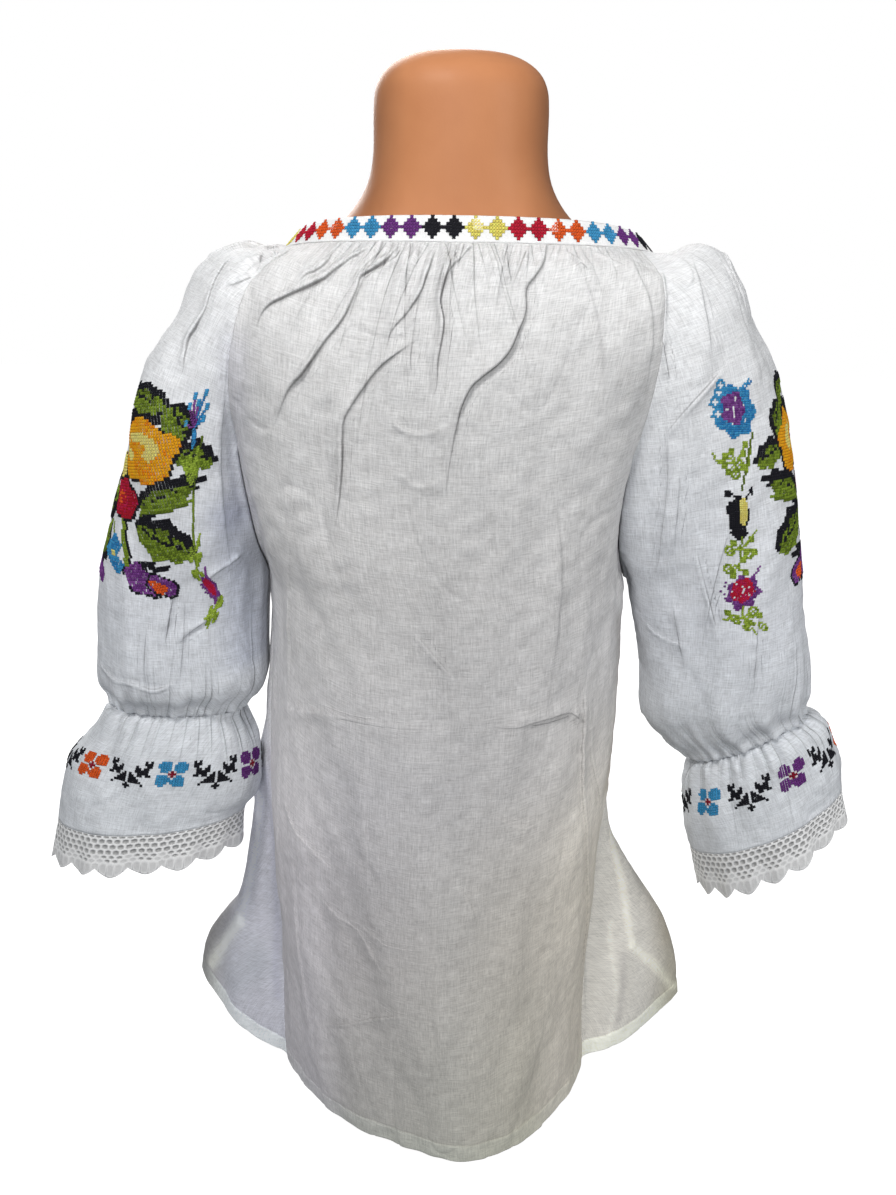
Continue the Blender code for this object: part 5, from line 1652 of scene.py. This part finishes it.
def bouquet():
    """Orange, red, blue and purple flowers among dark toothed leaves, 0, 0 at its top middle."""
    c = Chart(3)
    # leaves behind the flowers
    c.blot(14, 14.5, 15, 3.9, "black", 5, 0.12)
    c.blot(-12, 16.5, 13, 4.0, "black", 5, 0.12)
    c.leaf(19, 7.5, 10.5, 5.0, 18, -1)
    c.leaf(31, 16.4, 6.4, 5.6, 74, -1)
    c.leaf(33.5, 28, 7.2, 5.2, 24, -1)
    c.leaf(-9, 8.0, 10.5, 5.2, -18, 1)
    c.leaf(-24, 13, 8.0, 5.4, -70, 1)
    c.leaf(-29, 24, 8.0, 5.6, -24, 1)
    c.leaf(-25, 36, 8.5, 5.4, -48, 1)
    c.blot(-18, 28, 7, 9, "black", 5, 0.14)
    c.blot(26, 36.6, 8.6, 2.9, "black", 6, 0.18)
    c.leaf(20, 40.0, 11.5, 4.6, -14, -1)
    c.line(10, 45, 29, 43, "leaf")
    c.line(9, 46, 27, 44, "olive")
    c.line(8, 47, 16, 46, "black")
    c.leaf(14.5, 55, 11.6, 8.2, 36, -1)
    c.leaf(-25, 45, 11.0, 6.4, -26, 1)
    c.leaf(-21, 59, 10.0, 6.4, -50, 1)
    # stems under the red flower
    for offset, colour in ((0, "leaf"), (1, "leaf"), (2, "black")):
        c.line(-2 + offset, 47, -4 + offset, 66, colour)
    c.line(-9, 50, -10, 64, "leaf")
    for y, x0, x1 in ((63, 2, 9), (64, 1, 8), (65, 6, 13), (66, 7, 12)):
        c.line(x0, y, x1, y, "black")
    # the orange rose
    c.blot(15.5, 24.8, 14.4, 10.6, "black", 5, 0.07, 0.8)
    c.blot(15.5, 24.4, 13.8, 9.9, "orange", 5, 0.10, 0.8, "amber", 0.14)
    c.blot(17, 33.0, 4.4, 2.8, "orange", 3, 0.1, 0.0, "amber", 0.2)
    for j in range(15, 33):
        for i in range(2, 29):
            dx, dy = (i - 15.0) / 8.4, (j - 23.8) / 5.2
            ring, turn = math.hypot(dx, dy), math.degrees(math.atan2(dy, dx))
            if 0.42 < ring < 1.0 and not 62 < turn < 125 and not -168 < turn < -132:
                c.put(i, j, "cream")
            elif 0.34 < ring <= 0.42 or 1.0 <= ring < 1.08:
                c.put(i, j, c.mixed("amber", "orange", 0.3))
    c.line(9, 18, 13, 22, "amber")
    # a yellow flower behind it
    c.blot(-3, 30, 6.8, 5.0, "black", 4, 0.1)
    c.blot(-3, 29.6, 6.0, 4.3, "cream", 4, 0.12, 0.4, "yellow", 0.25)
    # the red flower
    c.blot(-1, 40.4, 11.0, 7.8, "black", 5, 0.07)
    c.blot(-1, 40.4, 10.0, 7.0, "red", 5, 0.08, 0.0, "crimson", 0.15)
    c.blot(-3, 40.4, 4.2, 2.6, "red", 4, 0.2, 0.3, "scarlet", 0.55)
    # blue flowers
    for x, y in ((-8, 57), (-9, 64), (-13, 60), (-17, 26), (-13, 21), (-19, 20)):
        c.blot(x, y, 3.6, 3.2, "sky", 4, 0.16, 0.3, "blue", 0.4)
    c.blot(-10, 60.5, 1.2, 1.2, "cream")
    c.blot(-16, 22.5, 1.4, 1.4, "cream")
    # the purple pansy with its orange eye
    c.blot(0, 69.5, 6.4, 6.6, "black", 5, 0.10)
    c.blot(-0.6, 69, 5.2, 5.8, "purple", 5, 0.10, 0.5, "violet", 0.30)
    c.blot(6, 72, 5.0, 5.0, "black", 4, 0.08)
    c.blot(6, 72.2, 4.2, 4.2, "violet", 4, 0.08, 0.0, "purple", 0.4)
    c.blot(4.6, 72.4, 2.7, 2.7, "scarlet", 3, 0.1)
    c.blot(-24, 69, 4.4, 4.0, "purple", 4, 0.12, 0.3, "violet", 0.4)
    return c.cells


def sprig(side_on):
    """A tall thin sprig: a blue flower, a bud and a red flower among lacy green leaves.

    Side on, the blue flower is a fan of stalks over its cup, and the bud is left out.
    """
    c = Chart(5)
    # the round blue flower, with open petals to the upper left
    c.blot(0.5, 0, 11.0, 10.8, "blue", 7, 0.09, 0.4, "sky", 0.45)
    for x, y in ((-8, -8), (-10, -4), (-7, -11), (-9, 1)):
        for i in range(-2, 3):
            for j in range(-2, 3):
                ring = math.hypot(i, j)
                if ring < 1.2:
                    c.cells.pop((x + i, y + j), None)
                elif ring < 2.4:
                    c.put(x + i, y + j, "sky")
    for x, y in ((-13, -3), (-12, 2)):
        c.put(x, y, "sky")
    if side_on:
        c.cells.clear()  # the round flower was drawn for its random draws, which come first
        for x, y in ((-10, -5), (-6, -9), (0, -6), (6, -10), (11, -4), (9, 1), (-11, 2)):
            c.line(-1, 5, x, y, "violet" if x < 3 else "blue")
            c.blot(x, y, 2.0, 1.3, "sky")
        c.blot(-1, 2, 2.6, 3.0, "purple", 3, 0.12, 0.0, "violet", 0.4)
        c.blot(0, 9, 2.2, 4.5, "blue", 3, 0.12, 0.0, "sky", 0.4)
    else:
        # a twig to the upper right, and the flower's eye
        c.line(4, -10, 9, -14, "sky")
        c.line(4, -9, 10, -13, "blue")
        c.line(2, -9, 5, -11, "sky")
        c.blot(-1, -1.5, 6.4, 6.8, "purple", 5, 0.10, 0.0, "violet", 0.5)
    for x, y in ((0, -6), (0, -5), (-4, -1), (-5, -1), (5, -3), (6, 3), (-2, 5), (6, 4)):
        c.cells.pop((x, y), None)
    for y in range(-2, 3):
        c.cells.pop((-1, y), None)
    # the long thin stem, and leaves beside it
    c.line(10, 9, 4, 34, "olive")
    c.line(9, 16, 7, 26, "leaf")
    c.sprout(1, 22, ((-6, -3, 1), (-10, -1, 0), (-4, 4, 1), (0, 5, 2), (4, -4, 1), (5, -8, 1),
                     (-3, -5, 1), (5, 2, 1), (2, 1, 2)))
    c.sprout(-9, 21, ((-2, -3, 0), (4, 2, 1)))
    if not side_on:  # the bud
        c.blot(2, 46, 5.4, 8.6, "black", 5, 0.09, 0.6)
        c.blot(2, 54, 3.6, 3.0, "black", 4, 0.12)
        c.line(-4, 36, 3, 37, "black")
        c.blot(-3, 36, 1.9, 1.4, "black")
        c.line(8, 34, 6, 38, "black")
        c.line(9, 33, 9, 36, "black")
        c.blot(4.5, 44, 2.1, 6.8, "cream", 3, 0.06, 0.0, "yellow", 0.25)
    else:
        c.line(4, 34, 3, 58, "leaf")
    # lower leaves
    c.line(3, 56, 1, 72, "leaf")
    c.sprout(2, 62, ((6, -5, 1), (9, -9, 0), (4, 2, 2), (-5, 1, 2), (-3, -3, 1), (7, 1, 1)))
    c.sprout(0, 70, ((-4, 2, 2), (4, 3, 1), (-2, 5, 1), (3, -3, 1)))
    # the red flower
    c.blot(4, 83, 7.2, 8.2, "purple", 7, 0.13, 0.9, "violet", 0.45)
    c.blot(3.5, 82, 5.2, 6.0, "band_red", 5, 0.07, 0.0, "crimson", 0.45)
    for x, y in ((0, 79), (6, 80), (7, 84), (1, 86), (3, 80), (4, 81), (4, 82), (4, 83), (-1, 83)):
        c.cells.pop((x, y), None)
    for x, y in ((-5, 81), (-6, 84), (-4, 85), (-5, 79)):
        c.put(x, y, "purple")
    c.line(8, 74, 11, 70, "violet")
    # the lowest leaves
    c.line(6, 90, 6, 97, "lime")
    c.sprout(6, 96, ((5, -4, 2), (8, -2, 1), (-5, 1, 2), (-11, 2, 0), (-7, -2, 1), (7, 4, 2),
                     (-2, 5, 1), (1, 8, 0), (2, 2, 1)))
    return c.cells


CUFF_SPRAY = (  # the right half of a spray, its middle column first
    "......o.o",
    "......ooo",
    "...o...oo",
    "...oo.oo.",
    "...ooooo.",
    ".o..oooo.",
    ".oo.oo.oo",
    ".ooo.....",
    ".oooo....",
    ".ooooo...",
    "o.....o..",
    "oo.......",
    "o........",
)
CUFF_PETALS = ((-2.6, -3.1), (3.1, -2.7), (-3.3, 2.6), (2.4, 3.2))
CUFF_PETAL = 2.55  # a petal's radius in stitches
DIAMOND = (1, 3, 5, 7, 5, 3, 1)
BAND_ORDER = ("yellow", "band_red", "scarlet", "sky", "purple", "black")


def cuff_flower(chart, x, colour):
    """Four petals round a small dark cross."""
    for px, py in CUFF_PETALS:
        chart.blot(x + px, py, CUFF_PETAL, CUFF_PETAL, colour)
    for i in (-1, 0, 1):
        for j in (-1, 0, 1):
            chart.put(x + i, j, "wine" if i == 0 or j == 0 else "rose_white")


def cuff_chart(flowers, pitch_cells, first):
    """The ring of flowers and sprays round a cuff."""
    c = Chart(9)
    colours = ("scarlet", "sky", "purple")
    for k in range(flowers):
        x = k * pitch_cells
        cuff_flower(c, x, colours[(k + first) % 3])
        middle = x + pitch_cells / 2.0
        for j, row in enumerate(CUFF_SPRAY):
            for i, mark in enumerate(row):
                if mark == "o":
                    c.put(middle + i, j - 5, "black")
                    c.put(middle - i, j - 5, "black")
    return c.cells


def floss_of(cells, pitch):
    """Each stitch's colour and pitch."""
    return np.array([FLOSS[name] for name in cells.values()]), np.full(len(cells), pitch)


def place_stitches(piece, from_back, cells, row, y_there, run, pitch, lean=0.0, squeeze=1.0):
    """Centres, directions, colours and pitches of a chart's stitches on a sleeve.

    The chart's line y_there lies along the given row of the piece's grid, and run is measured
    from the back seam, which is the grid's first column where from_back is positive.
    """
    keys = np.array(list(cells.keys()), dtype=float)
    away = (keys[:, 1] - y_there) * pitch
    runs = run - keys[:, 0] * pitch * squeeze * from_back + lean * away
    rows, columns = np.empty(len(keys)), np.empty(len(keys))
    for k in range(len(keys)):
        column = piece.columns * (0.3 if from_back > 0 else 0.7)
        for _ in range(4):  # a row and a column that agree with each other
            near = int(np.clip(round(column), 0, piece.columns))
            fall = piece.fall[row, near] + away[k]
            level = np.interp(fall, piece.fall[:, near], np.arange(piece.rows))
            nearest = int(round(level))
            wanted = runs[k] if from_back > 0 else piece.width[nearest] - runs[k]
            column = np.interp(wanted, piece.across[nearest], np.arange(piece.columns + 1))
        rows[k], columns[k] = level, column
    return stitch_frame(piece, rows, columns) + floss_of(cells, pitch)


def stitch_frame(piece, rows, columns):
    """Centres of stitches, and their directions to the right, down and outwards."""
    centre, normal = piece.at(rows, columns)
    beside, _ = piece.at(rows, columns - 0.5)
    other, _ = piece.at(rows, columns + 0.5)
    below, _ = piece.at(rows + 0.5, columns)
    above, _ = piece.at(rows - 0.5, columns)
    right, down = beside - other, below - above
    right = unit(right - normal * (right * normal).sum(axis=1, keepdims=True))
    down = down - normal * (down * normal).sum(axis=1, keepdims=True)
    down = unit(down - right * (down * right).sum(axis=1, keepdims=True))
    return centre, right, down, normal


BOUQUET_PITCH = 0.00195
SPRIG_PITCH = 0.00146
CUFF_PITCH = 0.00202
# The row of the sleeve's grid, and the chart's line that lies on it.
BOUQUET_LINE = {"left": (143, 36), "right": (143, 38)}
SPRIG_LINE = {"left": (150, 35), "right": (150, 39)}
BOUQUET_RUN = {"left": 0.093, "right": 0.160}  # run of its middle from the back seam
SPRIG_LAY = {"left": (0.0371, 0.30, 0.36), "right": (0.0737, 0.295, 1.0)}  # run, lean, squeeze
# How many flowers go round the cuff, the first one's colour, and its share of the way round.
CUFF_MOTIFS = {"left": (6, 0, 0.372), "right": (5, 1, 0.904)}
CUFF_MOTIF_ROW = 28


def mirrored(cells):
    """A chart turned about, left for right."""
    return {(-x, y): colour for (x, y), colour in cells.items()}


def embroider(pieces, look):
    """The stitches of each sleeve and cuff, as one piece each."""
    made = {}
    flowers = bouquet()
    flowers = {"left": flowers, "right": mirrored(flowers)}
    sprigs = {"left": sprig(side_on=True), "right": sprig(side_on=False)}
    for side in SIDES:
        arm, hand = pieces["sleeve_" + side], HAND[side]
        run, lean, squeeze = SPRIG_LAY[side]
        big = (*BOUQUET_LINE[side], BOUQUET_RUN[side], BOUQUET_PITCH)
        thin = (*SPRIG_LINE[side], run, SPRIG_PITCH, lean, squeeze)
        parts = (
            place_stitches(arm, hand, flowers[side], *big),
            place_stitches(arm, hand, sprigs[side], *thin),
        )
        sets = [np.concatenate(group) for group in zip(*parts)]
        made["sleeve_" + side] = stitch_mesh("sleeve_" + side + "_embroidery", *sets, look, SLEEVE_SEED)
        ruffle = pieces["ruffle_" + side]
        flowers_round, first, start = CUFF_MOTIFS[side]
        cells_round = ruffle.width[CUFF_MOTIF_ROW] / CUFF_PITCH
        chart = cuff_chart(flowers_round, cells_round / flowers_round, first)
        keys = np.array(list(chart.keys()), dtype=float)
        columns = (start - keys[:, 0] / cells_round) % 1.0 * ruffle.columns
        falls = np.mean(ruffle.fall[CUFF_MOTIF_ROW]) + keys[:, 1] * CUFF_PITCH
        rows = np.interp(falls, ruffle.fall.mean(axis=1), np.arange(ruffle.rows))
        sets = stitch_frame(ruffle, rows, columns) + floss_of(chart, CUFF_PITCH)
        made["ruffle_" + side] = stitch_mesh("ruffle_" + side + "_embroidery", *sets, look, CUFF_SEED)
    return made


DIAMOND_PITCH = 0.0126
DIAMOND_RISE = 0.00186  # height of a row of stitches
DIAMOND_MIDDLE = 0.55  # of the band's height
DIAMOND_OUT = 0.00032


def band_stitches(look):
    """Pairs of diamonds round the neckband."""
    spot, up, face, _, run = band_line()
    count = 2 * int(round(run[-1] / DIAMOND_PITCH / 2.0))
    pitch = run[-1] / count / len(DIAMOND)
    places, heights, tones = [], [], []
    for k in range(count):
        turn = k if k < count // 2 else k - count
        colour = BAND_ORDER[(turn // 2) % len(BAND_ORDER)]
        for j, wide in enumerate(DIAMOND):
            for i in range(wide):
                places.append(((turn + 0.5) * len(DIAMOND) + i - (wide - 1) / 2.0) * pitch)
                heights.append((j - len(DIAMOND) // 2) * DIAMOND_RISE)
                tones.append(FLOSS[colour])
    places = np.mod(np.array(places), run[-1])
    heights = np.array(heights)

    def along(values):
        return np.stack([np.interp(places, run, values[:, k]) for k in range(3)], axis=1)

    low, rise, out = along(spot), unit(along(up)), unit(along(face))
    side = np.cross(rise, out)
    centre = low + rise * (BAND_HEIGHT * DIAMOND_MIDDLE - heights)[:, None] + out * DIAMOND_OUT
    sizes = np.full(len(places), (pitch + DIAMOND_RISE) / 2.0)
    return stitch_mesh(
        "neckband_embroidery", centre, side, -rise, out, np.array(tones), sizes, look, BAND_SEED
    )


# ---------------------------------------------------------------- crochet edging
NET_CELLS = 64  # round the cuff
CELLS_A_SCALLOP = 4
NET_ROWS = (0.0, 0.085, 0.225, 0.365, 0.505, 0.605, 0.700)  # tops of the rows of cells
NET_ZIGZAG = 0.018
ACROSS = (-0.5, -0.25, 0.0, 0.25, 0.5)  # corners along a cell's top and its bottom
YARN = 0.00042  # half the net's thickness
HOLE_SIDE, HOLE_TALL = 0.36, 0.33  # half sizes of a hole, in cells
FIRST_TALL = 0.24  # the first row's holes are lower
SMALL_SIDE, SMALL_TALL = 0.72, 0.85  # shares of a hole's size in the last three rows
DENSE = 0.55  # how wide and how deep a closed cell's hollow is
SHOULDER, SHOULDER_PAINTED_SHADE = 0.82, 0.90  # half way down from the outline into the cell, where painted shade begins
# painted shade on a closed cell's hollow, and on the faces that close the holes
DENSE_PAINTED_SHADE, HOLE_PAINTED_SHADE = 0.74, 0.46
NOTCH, LOBE, LOBE_POWER = 0.85, 0.22, 1.7  # the scalloped edge
LACE_STEPS = 24
LACE_SPARE = 5  # rows beyond the table's last, for the scallops
LACE_COLUMNS = 192
LACE_SUNK = 0.0004
LACE_WAVES = ((0.0011, 16, 0.0), (0.0012, 7, 1.0))  # height, waves round the cuff, start


def lace_surface(side, ruffle):
    """The edging's smooth surface: it hangs on from the ruffle's last row."""
    grid = ring_grid(side, CUFF, np.linspace(LACE_ROW, LACE_ROW + 1, LACE_STEPS + 1), LACE_COLUMNS)
    step = grid[-1] - grid[-2]
    spare = [grid[-1] + step * (k + 1) for k in range(LACE_SPARE)]
    piece = Cloth("lace_" + side, np.concatenate((grid, np.array(spare))), closed_from=0)
    u = np.linspace(0.0, 1.0, LACE_COLUMNS + 1)
    edge = np.interp(u, np.linspace(0.0, 1.0, ruffle.columns + 1), ruffle.height[-1])
    t = np.arange(piece.rows)[:, None] / LACE_STEPS
    wave = sum(high * np.sin(2 * math.pi * waves * u + start) for high, waves, start in LACE_WAVES)
    piece.height = edge[None, :] - LACE_SUNK + wave[None, :] * t
    piece.finish()
    return piece


def edge_at(s):
    """How far down the scalloped edge lies at cell s."""
    q = (s % CELLS_A_SCALLOP) / CELLS_A_SCALLOP * 2.0 - 1.0
    return NOTCH + LOBE * (1.0 - abs(q) ** LOBE_POWER)


def net_cell(row, s):
    """A cell's outline and its hole's outline, and whether the hole is closed by yarn."""
    last = len(NET_ROWS) - 1
    top = NET_ROWS[row]
    low = edge_at(s) if row == last else NET_ROWS[row + 1]
    zigzag = NET_ZIGZAG if row else 0.0
    ring = [(s + share, top - zigzag * (1.0 - 4.0 * abs(share))) for share in ACROSS]
    for share in ACROSS[::-1]:
        if row == last:
            ring.append((s + share, edge_at(s + share)))
        else:
            ring.append((s + share, low + NET_ZIGZAG * (1.0 - 4.0 * abs(share))))
    middle, tall = (top + low) / 2.0, low - top
    q = s % CELLS_A_SCALLOP
    off_lobe = abs(q - CELLS_A_SCALLOP / 2.0)
    dense = row == last or (row == last - 1 and off_lobe > 0.6) or (row == last - 2 and q == 0.0)
    small = row >= last - 2
    wide = HOLE_SIDE * (SMALL_SIDE if small else 1.0)
    high = (HOLE_TALL * (SMALL_TALL if small else 1.0) if row else FIRST_TALL) * tall
    hole = []
    for a, b in ring:
        if dense:
            hole.append((s + (a - s) * DENSE, middle + (b - middle) * DENSE))
        else:
            turn = math.atan2((b - middle) / tall, a - s)
            hole.append((s + wide * math.cos(turn), middle + high * math.sin(turn)))
    return ring, hole, dense


def build_lace(side, ruffle, look):
    """A net of yarn between two faces, walled in along its scalloped edge and its top."""
    surface = lace_surface(side, ruffle)
    corners, where, levels, tones = {}, [], [], []

    def point(spot, level, tone=1.0):
        s, t = spot
        key = (round((s % NET_CELLS) * 1000) % (NET_CELLS * 1000), round(t * 10000), level)
        if key not in corners:
            corners[key] = len(where)
            where.append(spot)
            levels.append(level)
            tones.append(tone)
        return corners[key]

    quads, caps, rims, uses = [], [], [], {}
    for row in range(len(NET_ROWS)):
        for cell in range(NET_CELLS):
            ring, hole, dense = net_cell(row, cell + 0.5 * (row % 2))
            shoulder = [
                (a + (c - a) * 0.5, b + (d - b) * 0.5) for (a, b), (c, d) in zip(ring, hole)
            ]
            for face in (1, -1):
                outer = [point(spot, face * 1.0) for spot in ring]
                # painted shade: the yarn darker down from each outline into the hollow or the hole
                mid = [point(spot, face * SHOULDER, SHOULDER_PAINTED_SHADE) for spot in shoulder]
                floor, tone = (DENSE, DENSE_PAINTED_SHADE) if dense else (0.0, HOLE_PAINTED_SHADE)
                inner = [point(spot, face * floor, tone) for spot in hole]
                for k in range(len(ring)):
                    j = (k + 1) % len(ring)
                    for first, second in ((outer, mid), (mid, inner)):
                        four = (first[k], first[j], second[j], second[k])
                        quads.append(four if face < 0 else four[::-1])
                    if face > 0:
                        pair = (outer[k], outer[j])
                        uses[frozenset(pair)] = uses.get(frozenset(pair), 0) + 1
                        rims.append((ring[k], ring[j], pair))
                if dense or face > 0:  # a hole is closed by a face painted dark, painted shade for the darkness inside the cuff
                    caps.append(tuple(inner) if face < 0 else tuple(inner[::-1]))
    for first, second, pair in rims:
        if uses[frozenset(pair)] == 1:
            behind = point(first, -1.0), point(second, -1.0)
            quads.append((pair[0], pair[1], behind[1], behind[0]))
    where, levels = np.array(where), np.array(levels)
    columns = np.mod(where[:, 0] / NET_CELLS, 1.0) * LACE_COLUMNS
    spot, normal = surface.at(where[:, 1] * LACE_STEPS, columns)
    points = spot + normal * (levels * YARN)[:, None]
    faces = [np.array(quads), np.array(caps)]
    tint = np.repeat(np.array(tones)[:, None], 3, axis=1)
    return mesh_object("lace_" + side + "_crochet", points, faces, look, tint=tint)


# ---------------------------------------------------------------- scene
LIGHTS = (  # name, place, what it points at, size, power and colour
    ("key", (0.36, 0.80, 1.50), (0.0, 0.06, 0.60), 0.30, 9.0, (1.0, 0.99, 0.975)),
    ("side", (-1.00, 1.00, 1.15), (-0.10, 0.0, 0.50), 0.50, 6.0, (1.0, 0.99, 0.975)),
    ("room", (0.05, 2.20, 1.10), (0.0, 0.0, 0.40), 1.0, 13.0, (0.98, 0.99, 1.0)),
    ("front", (0.4, -1.4, 1.4), (0.0, 0.0, 0.45), 1.0, 22.0, (1.0, 0.99, 0.97)),
)
ROOM_COLOUR, ROOM_STRENGTH = (0.93, 0.96, 1.0, 1.0), 0.23  # what lights the scene all round
BACKDROP = (1.0, 1.0, 1.0, 1.0)  # what the camera sees behind it
FLOOR_HALF = 6.0
CAMERA_PLACE = (0.006, 0.635, 0.687)
CAMERA_PITCH = 20.0
CAMERA_ROLL = 1.0
CAMERA_LENS = 27.05
SENSOR = 36.0


def add_light(name, place, aim, size, power, colour):
    """A round lamp that points at a place."""
    data = bpy.data.lights.new(name, "AREA")
    data.shape = "DISK"
    data.size = size
    data.energy = power
    data.color = colour
    made = bpy.data.objects.new(name, data)
    bpy.context.scene.collection.objects.link(made)
    made.location = place
    made.rotation_euler = (Vector(aim) - Vector(place)).to_track_quat("-Z", "Y").to_euler()


def add_camera():
    """The camera behind the blouse, a little above it and tilted down."""
    data = bpy.data.cameras.new("camera")
    data.sensor_fit = "VERTICAL"
    data.sensor_height = SENSOR
    data.lens = CAMERA_LENS
    data.clip_start = 0.02
    made = bpy.data.objects.new("camera", data)
    bpy.context.scene.collection.objects.link(made)
    pitch, roll = math.radians(CAMERA_PITCH), math.radians(CAMERA_ROLL)
    forward = Vector((0.0, -math.cos(pitch), -math.sin(pitch)))
    right = Vector((-1.0, 0.0, 0.0))
    up = right.cross(forward)
    tilted_right = right * math.cos(roll) + up * math.sin(roll)
    tilted_up = up * math.cos(roll) - right * math.sin(roll)
    turn = Matrix((tilted_right, tilted_up, -forward)).transposed()
    made.matrix_world = Matrix.Translation(CAMERA_PLACE) @ turn.to_4x4()
    bpy.context.scene.camera = made


def background(tree, colour, strength):
    """The output of an even background of a world's node tree."""
    made = tree.nodes.new("ShaderNodeBackground")
    made.inputs["Color"].default_value = colour
    made.inputs["Strength"].default_value = strength
    return made.outputs[0]


def set_stage():
    """White behind the scene, a dimmer room around it, the lamps and the floor."""
    scene = bpy.context.scene
    scene.view_settings.view_transform = "Standard"
    world = bpy.data.worlds.new("studio")
    scene.world = world
    world.use_nodes = True
    tree = world.node_tree
    tree.nodes.clear()
    path = tree.nodes.new("ShaderNodeLightPath")
    mix = tree.nodes.new("ShaderNodeMixShader")
    out = tree.nodes.new("ShaderNodeOutputWorld")
    tree.links.new(path.outputs["Is Camera Ray"], mix.inputs[0])
    tree.links.new(background(tree, ROOM_COLOUR, ROOM_STRENGTH), mix.inputs[1])
    tree.links.new(background(tree, BACKDROP, 1.0), mix.inputs[2])
    tree.links.new(mix.outputs[0], out.inputs["Surface"])
    for light in LIGHTS:
        add_light(*light)
    square = ((-1, -1), (1, -1), (1, 1), (-1, 1))
    corners = [(x * FLOOR_HALF, y * FLOOR_HALF, 0.0) for x, y in square]
    floor = mesh_object("floor", corners, [np.array([[0, 1, 2, 3]])], floor_look())
    floor.visible_diffuse = False
    floor.visible_glossy = False


def dress(piece, node):
    """Puts a piece in place of a CAD node, on the root body."""
    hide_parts(node)
    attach(piece, "root")


# Each sheet as it was cut: width, length and area in metres, how it is held, what it hangs from.
Cut = namedtuple("Cut", "width length area held rests_on")


def main():
    cloth, band, lace = cloth_look(), band_look(), lace_look()
    plastic = plastic_look()
    pieces, (form_points, form_faces) = build_cloth()
    made = {}
    for name, piece in pieces.items():
        made[name] = shell(piece, cloth)
        dress(made[name], name)
    band_piece = build_band(band)
    dress(band_piece, "neckband")
    form = mesh_object("torso_form_plastic", form_points, form_faces, plastic)
    dress(form, "torso_form")
    floss = thread_look()
    stitched = embroider(pieces, floss)
    stitched["neckband"] = band_stitches(floss)
    for piece in stitched.values():
        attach(piece, "root")
    for side in SIDES:
        made["lace_" + side] = build_lace(side, pieces["ruffle_" + side], lace)
        dress(made["lace_" + side], "lace_" + side)
    made["neckband"] = band_piece
    add_camera()
    set_stage()


main()
